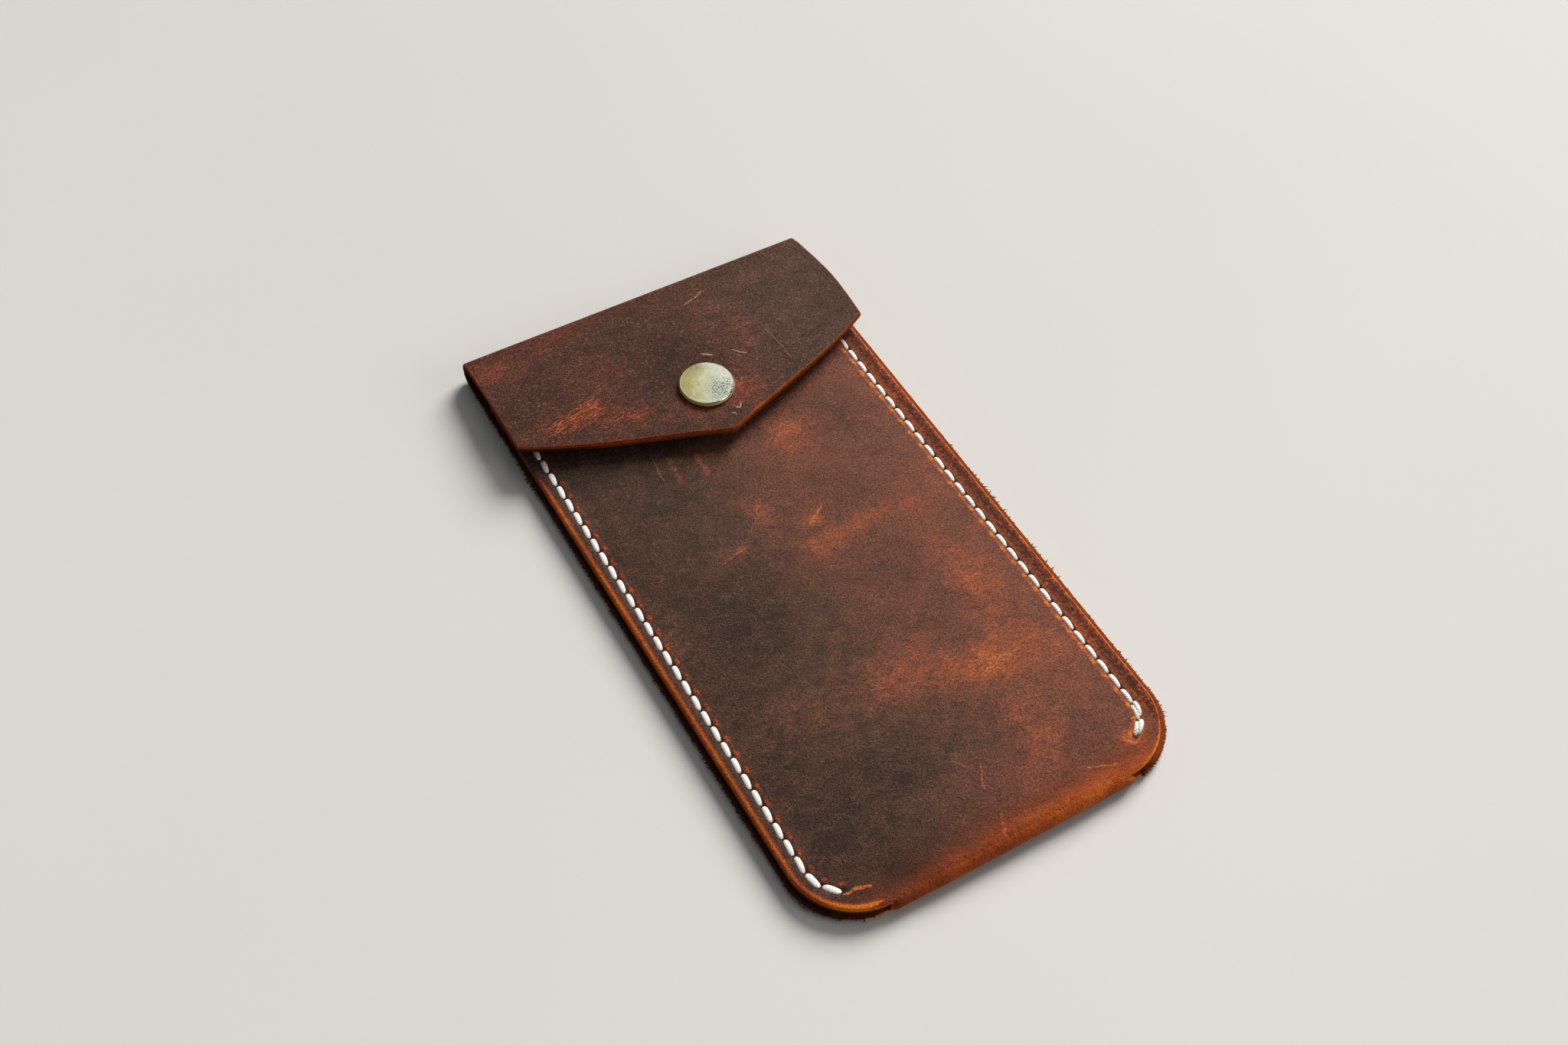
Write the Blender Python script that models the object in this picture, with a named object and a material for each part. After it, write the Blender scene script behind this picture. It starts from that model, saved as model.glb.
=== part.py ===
"""Leather phone sleeve with a flap and a ring snap.

One strip of leather is folded up at the bottom to make a pocket, stitched
along both sides, and folded over at the top to make a flap.  The sleeve lies
on its back: +X runs across it, +Y runs from the bottom fold to the top fold,
and +Z comes out of the front.  The origin is under the middle, on the surface
that the sleeve rests on.  Units are metres.
"""
import math

import bmesh
import bpy
from mathutils import Vector

MM = 0.001

# The leather strip
LEATHER = 1.8 * MM
GAP = 0.3 * MM
BACK_HALF_WIDTH = 42.6 * MM
FRONT_LEFT_X = -42.0 * MM
FRONT_RIGHT_X = 40.9 * MM
BOTTOM_Y = -79.3 * MM
TOP_Y = 79.3 * MM
MOUTH_Y = 66.0 * MM
CORNER_RADIUS = 15.5 * MM
CORNER_STEPS = 6

# The front wall stands a little above its stitched flanges
FLANGE_Z = LEATHER + GAP
WALL_RISE = 0.4 * MM
FLANGE_WIDTH = 6.5 * MM
WALL_SLOPE_WIDTH = 6.0 * MM

# The bends of the top fold, measured on the middle of the leather
FOLD_RADIUS = 1.75 * MM
FOLD_BAND_HEIGHT = 1.0 * MM
BEND_STEPS = 6
BOTTOM_FOLD_STEPS = 8

# The flap
FLAP_UNDERSIDE_Z = 6.8 * MM
FLAP_RAMP_LENGTH = 14.0 * MM
FLAP_LEFT = (-42.9 * MM, 49.0 * MM)
FLAP_RIGHT = (42.9 * MM, 47.9 * MM)
FLAP_TIP = (0.2 * MM, 30.9 * MM)
FLAP_BULGE = 1.1 * MM
FLAP_COLUMNS = 8

# Both seams: saddle stitches through both layers, turning in at the corners
SEAM_LEFT_X = -38.95 * MM
SEAM_RIGHT_X = 36.55 * MM
SEAM_TOP_Y = 62.7 * MM
SEAM_TURN_Y = -64.8 * MM
SEAM_TURN_RADIUS = 7.75 * MM
STITCH_PITCH = 4.0 * MM
STITCH_COUNT = 34
THREAD_WIDTH = 0.9 * MM
THREAD_HEIGHT = 0.6 * MM
THREAD_POST_LENGTH = 0.7 * MM
GROOVE_DEPTH = 0.9 * MM
CUTTER_REACH = 2.0 * MM

# The ring snap, which turns about a vertical axis
SNAP_X = 0.8 * MM
SNAP_Y = 44.6 * MM
SNAP_SEGMENTS = 32
CAP_RADIUS = 6.2 * MM
CAP_THICKNESS = 1.0 * MM
CAP_BARREL_RADIUS = 1.5 * MM
CAP_CURL_RADIUS = 2.2 * MM
SOCKET_RADIUS = 5.1 * MM
SOCKET_BORE_RADIUS = 1.8 * MM
SOCKET_LIP_RADIUS = 2.9 * MM
SOCKET_CAVITY_RADIUS = 4.0 * MM
SOCKET_PLATE = 0.45 * MM
SOCKET_HEIGHT = 1.65 * MM
SOCKET_LIP = 0.2 * MM
RING_RADIUS = 3.2 * MM
RING_WIRE_RADIUS = 0.25 * MM
RING_GAP_DEGREES = 40.0
RING_STEPS = 24
STUD_FLANGE_RADIUS = 4.5 * MM
STUD_FLANGE = 0.4 * MM
STUD_NECK_RADIUS = 1.9 * MM
STUD_HEAD_RADIUS = 2.3 * MM
STUD_HEIGHT = 1.35 * MM
STUD_BORE_RADIUS = 1.45 * MM
EYELET_RADIUS = 4.6 * MM
EYELET_FLANGE = 0.35 * MM
EYELET_BARREL_RADIUS = 1.15 * MM
PUNCH_CLEARANCE = 0.3 * MM
SNAP_SEAT = 0.1 * MM

LEATHER_BROWN = (0.105, 0.032, 0.016, 1.0)
THREAD_CREAM = (0.80, 0.76, 0.66, 1.0)
BRASS = (0.62, 0.54, 0.33, 1.0)
STEEL = (0.55, 0.55, 0.53, 1.0)

HALF_LEATHER = LEATHER / 2
FRONT_Z = FLANGE_Z + HALF_LEATHER
WALL_TOP_Z = FLANGE_Z + WALL_RISE + LEATHER
BOTTOM_FOLD_Y = BOTTOM_Y + (FRONT_Z + WALL_RISE - HALF_LEATHER) / 2 + HALF_LEATHER
TOP_BEND_Y = TOP_Y - HALF_LEATHER - FOLD_RADIUS
BAND_LOW_Z = HALF_LEATHER + FOLD_RADIUS
BAND_HIGH_Z = BAND_LOW_Z + FOLD_BAND_HEIGHT
# A flat strip rolled into a quarter bend keeps its length when it turns here
PIVOT_ALONG = math.pi / 4 * FOLD_RADIUS
PIVOT_ABOVE = (1 - math.pi / 4) * FOLD_RADIUS
LOWER_PIVOT = Vector((0, TOP_BEND_Y + PIVOT_ALONG, HALF_LEATHER + PIVOT_ABOVE))
UPPER_PIVOT = Vector((0, LOWER_PIVOT.y, BAND_HIGH_Z + FOLD_RADIUS - PIVOT_ABOVE))


def clear_scene():
    for obj in list(bpy.data.objects):
        bpy.data.objects.remove(obj, do_unlink=True)


def make_material(name, color, roughness, metallic):
    material = bpy.data.materials.new(name)
    material.use_nodes = True
    shader = material.node_tree.nodes["Principled BSDF"]
    shader.inputs["Base Color"].default_value = color
    shader.inputs["Roughness"].default_value = roughness
    shader.inputs["Metallic"].default_value = metallic
    return material


def link_mesh(name, points, faces, material, origin=None, smooth=False):
    """Make an object from world points, with its origin at `origin`."""
    origin = origin or Vector((0, 0, 0))
    mesh = bpy.data.meshes.new(name)
    mesh.from_pydata([Vector(point) - origin for point in points], [], faces)
    if smooth:
        mesh.shade_smooth()
        mesh.set_sharp_from_angle(angle=math.radians(35))
    mesh.materials.append(material)
    obj = bpy.data.objects.new(name, mesh)
    obj.location = origin
    bpy.context.collection.objects.link(obj)
    return obj


def parent_to(child, parent):
    """Hang a piece on a pivot without moving it."""
    child.parent = parent
    child.location = child.location - parent.matrix_world.translation


def sheet(name, lower, upper, material, origin=None):
    """A closed solid between two grids of points, `lower` and `upper`."""
    rows, columns = len(lower), len(lower[0])
    points = [point for grid in (lower, upper) for row in grid for point in row]

    def index(side, row, column):
        return (side * rows + row) * columns + column

    faces = []
    for row in range(rows - 1):
        for column in range(columns - 1):
            ring = [(row, column), (row, column + 1), (row + 1, column + 1), (row + 1, column)]
            faces.append([index(1, *corner) for corner in ring])
            faces.append([index(0, *corner) for corner in reversed(ring)])
    border = [(0, column) for column in range(columns - 1)]
    border += [(row, columns - 1) for row in range(rows - 1)]
    border += [(rows - 1, column) for column in range(columns - 1, 0, -1)]
    border += [(row, 0) for row in range(rows - 1, 0, -1)]
    for here, there in zip(border, border[1:] + border[:1]):
        faces.append([index(0, *here), index(0, *there), index(1, *there), index(1, *here)])
    return link_mesh(name, points, faces, material, origin)


def ladder(name, path, layers, material):
    """Two rails joined by posts, as one closed solid.

    `path` is a list of (centre, across) pairs at the edges of the posts, and
    `layers` holds the (bottom, top) heights of the back and front rails.
    """
    (back_low, back_high), (front_low, front_high) = layers
    heights = (back_low, back_high, front_low, front_high)
    points = [centre + side * across + Vector((0, 0, z))
              for centre, across in path for side in (-1, 1) for z in heights]

    def index(station, side, level):
        return (station * 2 + side) * 4 + level

    def filled(cell, layer):
        inside = 0 <= cell < len(path) - 1 and 0 <= layer < 3
        return inside and (layer != 1 or cell % 2 == 0)

    faces = []
    for cell in range(len(path) - 1):
        for layer in range(3):
            if not filled(cell, layer):
                continue
            a, b = cell, cell + 1
            low, high = layer, layer + 1
            for side, order in ((0, 1), (1, -1)):
                wall = [index(a, side, low), index(a, side, high),
                        index(b, side, high), index(b, side, low)]
                faces.append(wall[::order])
            if not filled(cell, layer + 1):
                faces.append([index(a, 0, high), index(a, 1, high), index(b, 1, high), index(b, 0, high)])
            if not filled(cell, layer - 1):
                faces.append([index(a, 0, low), index(b, 0, low), index(b, 1, low), index(a, 1, low)])
            if not filled(cell - 1, layer):
                faces.append([index(a, 0, low), index(a, 1, low), index(a, 1, high), index(a, 0, high)])
            if not filled(cell + 1, layer):
                faces.append([index(b, 0, low), index(b, 0, high), index(b, 1, high), index(b, 1, low)])
    solid = link_mesh(name, points, faces, material)
    make_outward(solid)
    return solid


def make_outward(obj):
    """Drop unused points and turn every face outward."""
    mesh = bmesh.new()
    mesh.from_mesh(obj.data)
    bmesh.ops.delete(mesh, geom=[v for v in mesh.verts if not v.link_faces], context="VERTS")
    bmesh.ops.recalc_face_normals(mesh, faces=mesh.faces)
    mesh.to_mesh(obj.data)
    mesh.free()


def turned(name, profile, material, origin):
    """Spin a closed (radius, z) profile about the snap's axis."""
    mesh = bmesh.new()
    verts = [mesh.verts.new((radius, 0, z)) for radius, z in profile]
    edges = [mesh.edges.new((verts[i], verts[(i + 1) % len(verts)])) for i in range(len(verts))]
    bmesh.ops.spin(mesh, geom=verts + edges, angle=math.tau, steps=SNAP_SEGMENTS,
                   axis=(0, 0, 1), cent=(0, 0, 0), use_merge=True)
    bmesh.ops.remove_doubles(mesh, verts=mesh.verts, dist=0.001 * MM)
    bmesh.ops.recalc_face_normals(mesh, faces=mesh.faces)
    snap = Vector((SNAP_X, SNAP_Y, 0))
    points = [vert.co + snap for vert in mesh.verts]
    faces = [[vert.index for vert in face.verts] for face in mesh.faces]
    mesh.free()
    return link_mesh(name, points, faces, material, origin, smooth=True)


def cut(target, cutter):
    """Subtract `cutter`, which stays in the file as a hidden wire shape."""
    cutter.hide_render = True
    cutter.display_type = "WIRE"
    boolean = target.modifiers.new("Cut " + cutter.name, "BOOLEAN")
    boolean.operation = "DIFFERENCE"
    boolean.object = cutter


def rounded_end(edge_x, y):
    """Where the side edge that starts at `edge_x` lies at height `y`."""
    depth = BOTTOM_Y + CORNER_RADIUS - y
    if depth <= 0:
        return edge_x
    inset = CORNER_RADIUS - math.sqrt(max(CORNER_RADIUS ** 2 - depth ** 2, 0))
    return edge_x - math.copysign(inset, edge_x)


def wall_columns(left_x, right_x, y):
    """(x, rise) pairs across the pocket at one height."""
    left, right = rounded_end(left_x, y), rounded_end(right_x, y)
    return [(left, 0), (left + FLANGE_WIDTH, 0),
            (left + FLANGE_WIDTH + WALL_SLOPE_WIDTH, 1),
            (right - FLANGE_WIDTH - WALL_SLOPE_WIDTH, 1),
            (right - FLANGE_WIDTH, 0), (right, 0)]


def pocket_rows(last_y):
    """Heights from the bottom fold, through the round corners, to `last_y`."""
    first_y = BOTTOM_FOLD_Y + GAP
    corner_top = BOTTOM_Y + CORNER_RADIUS
    start = math.asin((corner_top - first_y) / CORNER_RADIUS)
    angles = [start * (1 - step / CORNER_STEPS) for step in range(CORNER_STEPS + 1)]
    return [corner_top - CORNER_RADIUS * math.sin(angle) for angle in angles] + [last_y]


def build_back_panel(leather):
    rows = pocket_rows(TOP_BEND_Y - GAP / 2)
    grid = [[(x, y) for x, _ in wall_columns(-BACK_HALF_WIDTH, BACK_HALF_WIDTH, y)] for y in rows]
    lower = [[(x, y, 0) for x, y in row] for row in grid]
    upper = [[(x, y, LEATHER) for x, y in row] for row in grid]
    return sheet("back_panel", lower, upper, leather)


def build_front_panel(leather):
    grid = [[(x, y, FLANGE_Z + WALL_RISE * rise) for x, rise in
             wall_columns(FRONT_LEFT_X, FRONT_RIGHT_X, y)] for y in pocket_rows(MOUTH_Y)]
    upper = [[(x, y, z + LEATHER) for x, y, z in row] for row in grid]
    return sheet("front_panel", grid, upper, leather)


def build_bottom_fold(leather):
    """The strip turns up here from the back panel to the front panel."""
    def fold_row(angle, outward):
        lift = (1 - math.cos(angle)) / 2
        left = -BACK_HALF_WIDTH + lift * (FRONT_LEFT_X + BACK_HALF_WIDTH)
        right = BACK_HALF_WIDTH + lift * (FRONT_RIGHT_X - BACK_HALF_WIDTH)
        row = []
        for column in range(6):
            rise = wall_columns(left, right, 0)[column][1]
            radius = (FRONT_Z + WALL_RISE * rise - HALF_LEATHER) / 2
            reach = radius + outward
            y = BOTTOM_FOLD_Y - reach * math.sin(angle)
            edge_y = BOTTOM_FOLD_Y - (radius + HALF_LEATHER) * math.sin(angle)
            x = wall_columns(left, right, max(edge_y, BOTTOM_Y))[column][0]
            row.append((x, y, HALF_LEATHER + radius - reach * math.cos(angle)))
        return row

    angles = [math.pi * step / BOTTOM_FOLD_STEPS for step in range(BOTTOM_FOLD_STEPS + 1)]
    inner = [fold_row(angle, -HALF_LEATHER) for angle in angles]
    outer = [fold_row(angle, HALF_LEATHER) for angle in angles]
    fold = sheet("bottom_fold", inner, outer, leather)
    make_outward(fold)
    return fold


def bend(name, centre_z, first, last, leather, origin):
    """A quarter bend of the top fold, between two angles from straight down."""
    trim = GAP / 2 / FOLD_RADIUS
    angles = [first + trim + (last - first - 2 * trim) * step / BEND_STEPS
              for step in range(BEND_STEPS + 1)]

    def surface(radius):
        return [[(x, TOP_BEND_Y + radius * math.sin(angle), centre_z - radius * math.cos(angle))
                 for x in (-BACK_HALF_WIDTH, BACK_HALF_WIDTH)] for angle in angles]

    piece = sheet(name, surface(FOLD_RADIUS + HALF_LEATHER), surface(FOLD_RADIUS - HALF_LEATHER),
                  leather, origin)
    make_outward(piece)
    return piece


def build_fold_band(leather):
    """The upright middle of the top fold, which turns as one piece."""
    def side(y):
        return [[(x, y, z) for x in (-BACK_HALF_WIDTH, BACK_HALF_WIDTH)]
                for z in (BAND_LOW_Z + GAP / 2, BAND_HIGH_Z - GAP / 2)]

    band = sheet("top_fold_band", side(TOP_Y), side(TOP_Y - LEATHER), leather, LOWER_PIVOT)
    make_outward(band)
    return band


def flap_edge_y(x):
    """The flap's lower edge: two shallow arcs that meet at the tip."""
    corner = FLAP_LEFT if x < FLAP_TIP[0] else FLAP_RIGHT
    along = (x - FLAP_TIP[0]) / (corner[0] - FLAP_TIP[0])
    straight = FLAP_TIP[1] + along * (corner[1] - FLAP_TIP[1])
    return straight - FLAP_BULGE * 4 * along * (1 - along)


def build_flap(leather):
    """From the top fold the flap climbs a short ramp and then lies level."""
    fold_z = BAND_HIGH_Z + FOLD_RADIUS - HALF_LEATHER
    ramp_end = TOP_BEND_Y - FLAP_RAMP_LENGTH
    left = [FLAP_LEFT[0] + (FLAP_TIP[0] - FLAP_LEFT[0]) * step / FLAP_COLUMNS
            for step in range(FLAP_COLUMNS)]
    right = [FLAP_TIP[0] + (FLAP_RIGHT[0] - FLAP_TIP[0]) * step / FLAP_COLUMNS
             for step in range(FLAP_COLUMNS + 1)]
    across = left + right
    under = [[(x, TOP_BEND_Y - GAP / 2, fold_z) for x in across],
             [(x, ramp_end, FLAP_UNDERSIDE_Z) for x in across],
             [(x, flap_edge_y(x), FLAP_UNDERSIDE_Z) for x in across]]
    over = [[(x, y, z + LEATHER) for x, y, z in row] for row in under]
    flap = sheet("flap", under, over, leather, UPPER_PIVOT)
    make_outward(flap)
    return flap


def seam_point(seam_x, distance):
    """Point and unit crosswise direction at `distance` down a seam."""
    side = math.copysign(1, seam_x)
    straight = SEAM_TOP_Y - SEAM_TURN_Y
    if distance <= straight:
        return Vector((seam_x, SEAM_TOP_Y - distance, 0)), Vector((side, 0, 0))
    angle = (distance - straight) / SEAM_TURN_RADIUS
    outward = Vector((side * math.cos(angle), -math.sin(angle), 0))
    centre = Vector((seam_x - side * SEAM_TURN_RADIUS, SEAM_TURN_Y, 0))
    return centre + outward * SEAM_TURN_RADIUS, outward


def seam_ladder(name, seam_x, grow, layers, material):
    """Rails and posts along a seam, each grown sideways by `grow`."""
    stations = []
    for hole in range(STITCH_COUNT + 1):
        for edge in (-1, 1):
            reach = edge * (THREAD_POST_LENGTH / 2 + grow)
            centre, across = seam_point(seam_x, hole * STITCH_PITCH + reach)
            stations.append((centre, across * (THREAD_WIDTH / 2 + grow)))
    return ladder(name, stations, layers, material)


def build_seam(name, seam_x, panels, thread):
    """One seam's thread, and the grooves and holes that it lies in."""
    front_top = FLANGE_Z + LEATHER
    front_low = front_top - GROOVE_DEPTH + GAP
    back_high = GROOVE_DEPTH - GAP
    thread_layers = ((back_high - THREAD_HEIGHT + 0.05 * MM, back_high),
                     (front_low, front_low + THREAD_HEIGHT))
    groove_layers = ((-CUTTER_REACH, GROOVE_DEPTH),
                     (front_top - GROOVE_DEPTH, front_top + CUTTER_REACH))
    seam_ladder(name, seam_x, 0, thread_layers, thread)
    grooves = seam_ladder(name + "_grooves", seam_x, GAP, groove_layers, thread)
    for panel in panels:
        cut(panel, grooves)


def punch(name, radius, panel):
    """A round hole for the snap through one layer of leather."""
    bpy.ops.mesh.primitive_cylinder_add(vertices=SNAP_SEGMENTS, radius=radius, depth=0.05,
                                        location=(SNAP_X, SNAP_Y, 0))
    punched = bpy.context.object
    punched.name = name
    cut(panel, punched)


def build_snap_cap(brass, origin):
    """The shallow domed cap, with the barrel that rivets it to the socket."""
    seat = FLAP_UNDERSIDE_Z + LEATHER + SNAP_SEAT
    curl_z = FLAP_UNDERSIDE_Z - SNAP_SEAT - SOCKET_PLATE
    profile = [(0, seat + CAP_THICKNESS), (CAP_RADIUS * 0.6, seat + CAP_THICKNESS * 0.96),
               (CAP_RADIUS * 0.9, seat + CAP_THICKNESS * 0.8), (CAP_RADIUS, seat + CAP_THICKNESS * 0.45),
               (CAP_RADIUS, seat + CAP_THICKNESS * 0.2), (CAP_RADIUS * 0.94, seat),
               (CAP_BARREL_RADIUS, seat), (CAP_BARREL_RADIUS, curl_z - SNAP_SEAT),
               (CAP_CURL_RADIUS, curl_z - SNAP_SEAT), (CAP_CURL_RADIUS, curl_z - 3 * SNAP_SEAT),
               (0, curl_z - 3 * SNAP_SEAT)]
    return turned("snap_cap", profile, brass, origin)


def build_snap_socket(brass, origin):
    top = FLAP_UNDERSIDE_Z - SNAP_SEAT
    low = top - SOCKET_HEIGHT
    profile = [(SOCKET_BORE_RADIUS, top), (SOCKET_RADIUS, top), (SOCKET_RADIUS, low),
               (SOCKET_LIP_RADIUS, low), (SOCKET_LIP_RADIUS, low + SOCKET_LIP),
               (SOCKET_CAVITY_RADIUS, low + SOCKET_LIP), (SOCKET_CAVITY_RADIUS, top - SOCKET_PLATE),
               (SOCKET_BORE_RADIUS, top - SOCKET_PLATE)]
    return turned("snap_socket", profile, brass, origin)


def build_ring_spring(steel, origin):
    """An open ring of wire that lies on the socket's lip and grips the stud."""
    ring_z = FLAP_UNDERSIDE_Z - SNAP_SEAT - SOCKET_HEIGHT + SOCKET_LIP + RING_WIRE_RADIUS + SNAP_SEAT
    sweep = math.radians(360 - RING_GAP_DEGREES)
    points = []
    for step in range(RING_STEPS + 1):
        turn = -sweep / 2 + sweep * step / RING_STEPS
        for corner in range(6):
            angle = math.tau * corner / 6
            radius = RING_RADIUS + RING_WIRE_RADIUS * math.cos(angle)
            points.append((SNAP_X + radius * math.cos(turn), SNAP_Y + radius * math.sin(turn),
                           ring_z + RING_WIRE_RADIUS * math.sin(angle)))
    faces = [list(range(6)), [RING_STEPS * 6 + corner for corner in range(6)]]
    for step in range(RING_STEPS):
        for corner in range(6):
            here, beside = step * 6 + corner, step * 6 + (corner + 1) % 6
            faces.append([here, beside, beside + 6, here + 6])
    ring = link_mesh("snap_ring_spring", points, faces, steel, origin, smooth=True)
    make_outward(ring)
    return ring


def build_snap_stud(brass):
    low = WALL_TOP_Z + SNAP_SEAT
    top = low + STUD_HEIGHT
    profile = [(STUD_BORE_RADIUS, low), (STUD_FLANGE_RADIUS, low),
               (STUD_FLANGE_RADIUS, low + STUD_FLANGE / 2),
               (STUD_FLANGE_RADIUS * 0.9, low + STUD_FLANGE),
               (STUD_NECK_RADIUS, low + STUD_FLANGE), (STUD_NECK_RADIUS, top - 0.6 * MM),
               (STUD_HEAD_RADIUS, top - 0.4 * MM), (STUD_HEAD_RADIUS, top - 0.2 * MM),
               (STUD_HEAD_RADIUS * 0.85, top), (STUD_BORE_RADIUS, top)]
    turned("snap_stud", profile, brass, None)


def build_snap_eyelet(brass):
    """The flange inside the pocket, with the barrel that holds the stud."""
    top = FLANGE_Z + WALL_RISE - SNAP_SEAT
    low = top - EYELET_FLANGE
    barrel_top = WALL_TOP_Z + STUD_HEIGHT
    profile = [(0, low), (EYELET_RADIUS, low), (EYELET_RADIUS, top), (EYELET_BARREL_RADIUS, top),
               (EYELET_BARREL_RADIUS, barrel_top), (0, barrel_top)]
    turned("snap_eyelet", profile, brass, None)


def add_pivot(name, location):
    pivot = bpy.data.objects.new(name, None)
    pivot.location = location
    bpy.context.collection.objects.link(pivot)
    return pivot


def build():
    clear_scene()
    leather = make_material("Pull-up leather", LEATHER_BROWN, 0.55, 0.0)
    thread = make_material("Waxed thread", THREAD_CREAM, 0.6, 0.0)
    brass = make_material("Pale brass", BRASS, 0.3, 1.0)
    steel = make_material("Spring steel", STEEL, 0.3, 1.0)

    lower_pivot = add_pivot("lower_fold_pivot", LOWER_PIVOT)
    upper_pivot = add_pivot("upper_fold_pivot", UPPER_PIVOT)
    bpy.context.view_layer.update()
    parent_to(upper_pivot, lower_pivot)

    back_panel = build_back_panel(leather)
    front_panel = build_front_panel(leather)
    build_bottom_fold(leather)
    bend("top_fold_lower_bend", BAND_LOW_Z, 0, math.pi / 2, leather, None)
    band = build_fold_band(leather)
    upper_bend = bend("top_fold_upper_bend", BAND_HIGH_Z, math.pi / 2, math.pi, leather, LOWER_PIVOT)
    flap = build_flap(leather)
    build_seam("left_seam_thread", SEAM_LEFT_X, (back_panel, front_panel), thread)
    build_seam("right_seam_thread", SEAM_RIGHT_X, (back_panel, front_panel), thread)

    punch("flap_punch", CAP_BARREL_RADIUS + PUNCH_CLEARANCE, flap)
    punch("front_punch", EYELET_BARREL_RADIUS + PUNCH_CLEARANCE, front_panel)
    cap = build_snap_cap(brass, UPPER_PIVOT)
    socket = build_snap_socket(brass, UPPER_PIVOT)
    ring = build_ring_spring(steel, UPPER_PIVOT)
    build_snap_stud(brass)
    build_snap_eyelet(brass)

    bpy.context.view_layer.update()
    for piece in (band, upper_bend):
        parent_to(piece, lower_pivot)
    for piece in (flap, cap, socket, ring):
        parent_to(piece, upper_pivot)


build()
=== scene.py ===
"""Looks of the leather phone sleeve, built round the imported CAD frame.

The leather is two thick shells that share one unrolled strip: the pocket, which
runs from its mouth down the front, round the bottom fold, up the back and into
the top fold, and the flap, which goes on from the middle of the top fold.
Shapes below are in millimetres in the frame's axes and become metres in
`add_mesh`.
"""
import math
import random

import bmesh
import bpy
import numpy as np
from mathutils import Matrix, Vector, noise


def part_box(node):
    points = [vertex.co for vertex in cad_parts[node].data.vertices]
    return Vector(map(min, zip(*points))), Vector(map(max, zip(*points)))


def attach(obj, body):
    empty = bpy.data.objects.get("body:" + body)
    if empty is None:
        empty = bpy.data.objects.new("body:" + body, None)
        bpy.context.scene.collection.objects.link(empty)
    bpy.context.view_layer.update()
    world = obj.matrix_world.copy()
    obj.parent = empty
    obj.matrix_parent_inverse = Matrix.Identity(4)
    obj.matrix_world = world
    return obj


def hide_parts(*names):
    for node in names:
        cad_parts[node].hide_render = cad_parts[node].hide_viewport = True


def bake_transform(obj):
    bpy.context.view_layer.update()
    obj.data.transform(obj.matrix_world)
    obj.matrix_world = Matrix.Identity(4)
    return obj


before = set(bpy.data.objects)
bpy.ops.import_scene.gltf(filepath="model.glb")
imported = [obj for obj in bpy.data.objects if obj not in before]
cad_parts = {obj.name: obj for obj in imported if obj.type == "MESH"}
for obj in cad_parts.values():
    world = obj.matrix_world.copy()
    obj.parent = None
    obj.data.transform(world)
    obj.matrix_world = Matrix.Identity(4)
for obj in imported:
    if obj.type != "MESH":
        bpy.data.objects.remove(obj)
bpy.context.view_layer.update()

MM = 0.001


def box_mm(node):
    """Lowest and highest corners of a CAD node, in millimetres."""
    low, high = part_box(node)
    return [value / MM for value in low], [value / MM for value in high]


# ---- Sizes, from the frame and from the sleeve's own rules -------------------
(BACK_LEFT, _, _), (BACK_RIGHT, _, LEATHER) = box_mm("back_panel")
(FRONT_LEFT, _, FLANGE_LOW), (FRONT_RIGHT, MOUTH_Y, WALL_TOP) = box_mm("front_panel")
BOTTOM_Y = box_mm("bottom_fold")[0][1]
TOP_Y = box_mm("top_fold_band")[1][1]
FLAP_HIGH = box_mm("flap")[1][2]
(SNAP_LOW_X, SNAP_LOW_Y, _), (SNAP_HIGH_X, SNAP_HIGH_Y, CAP_TOP) = box_mm("snap_cap")
SNAP_X, SNAP_Y = (SNAP_LOW_X + SNAP_HIGH_X) / 2, (SNAP_LOW_Y + SNAP_HIGH_Y) / 2
HALF = LEATHER / 2

FLANGE_MID = FLANGE_LOW + HALF
WALL_RISE = WALL_TOP - FLANGE_LOW - LEATHER
FLANGE_WIDTH = 5.0
WALL_SLOPE = 6.5
WALL_DOME = 0.45
FOLD_OUTER = WALL_TOP / 2
FOLD_RADIUS = FOLD_OUTER - HALF
FOLD_Y = BOTTOM_Y + FOLD_OUTER
CORNER_RADIUS = 14.0
CORNER_WRAP = 0.7
CORNER_LOW = FOLD_Y - CORNER_WRAP * FOLD_RADIUS
CORNER_TOP = CORNER_LOW + CORNER_RADIUS

TOP_BEND = 1.75
TOP_BEND_STEPS = 8
TOP_BEND_Y = TOP_Y - HALF - TOP_BEND
BAND_LOW = HALF + TOP_BEND
BAND_HEIGHT = 1.0
BAND_MIDDLE = BAND_LOW + BAND_HEIGHT / 2
BAND_HIGH = BAND_LOW + BAND_HEIGHT
# Lengths along the unrolled strip, which equal y on the front and fall from there on
FOLD_MIDDLE = FOLD_Y - FOLD_RADIUS * math.pi / 2
BACK_END = FOLD_Y - FOLD_RADIUS * math.pi - (TOP_BEND_Y - FOLD_Y)
FLAP_ORIGIN = BACK_END - math.pi * TOP_BEND - BAND_HEIGHT

SEAM_X = {-1: -38.95, 1: 36.55}
SEAM_TOP_Y = 62.7
SEAM_TURN_Y = -64.8
SEAM_TURN_RADIUS = 7.75
SEAM_STRAIGHT = SEAM_TOP_Y - SEAM_TURN_Y
PITCH = 4.0
STITCHES = 34
VALLEY_FRONT = 0.32
VALLEY_BACK = 0.70

FLAP_LEFT = (-42.9, 49.0)
FLAP_RIGHT = (42.9, 47.9)
FLAP_TIP = (0.2, 30.9)
FLAP_BULGE = 1.1
FLAP_MID = FLAP_HIGH - HALF
FLAP_RAMP = 17.0
FLAP_DROOP = 0.75
# A step across the flap's slanting lower edge is this much longer along y
FLAP_SLANT = 1.09
# Height up the flap at which its columns are laid out
FLAP_SIDE_Y = 60

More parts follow.
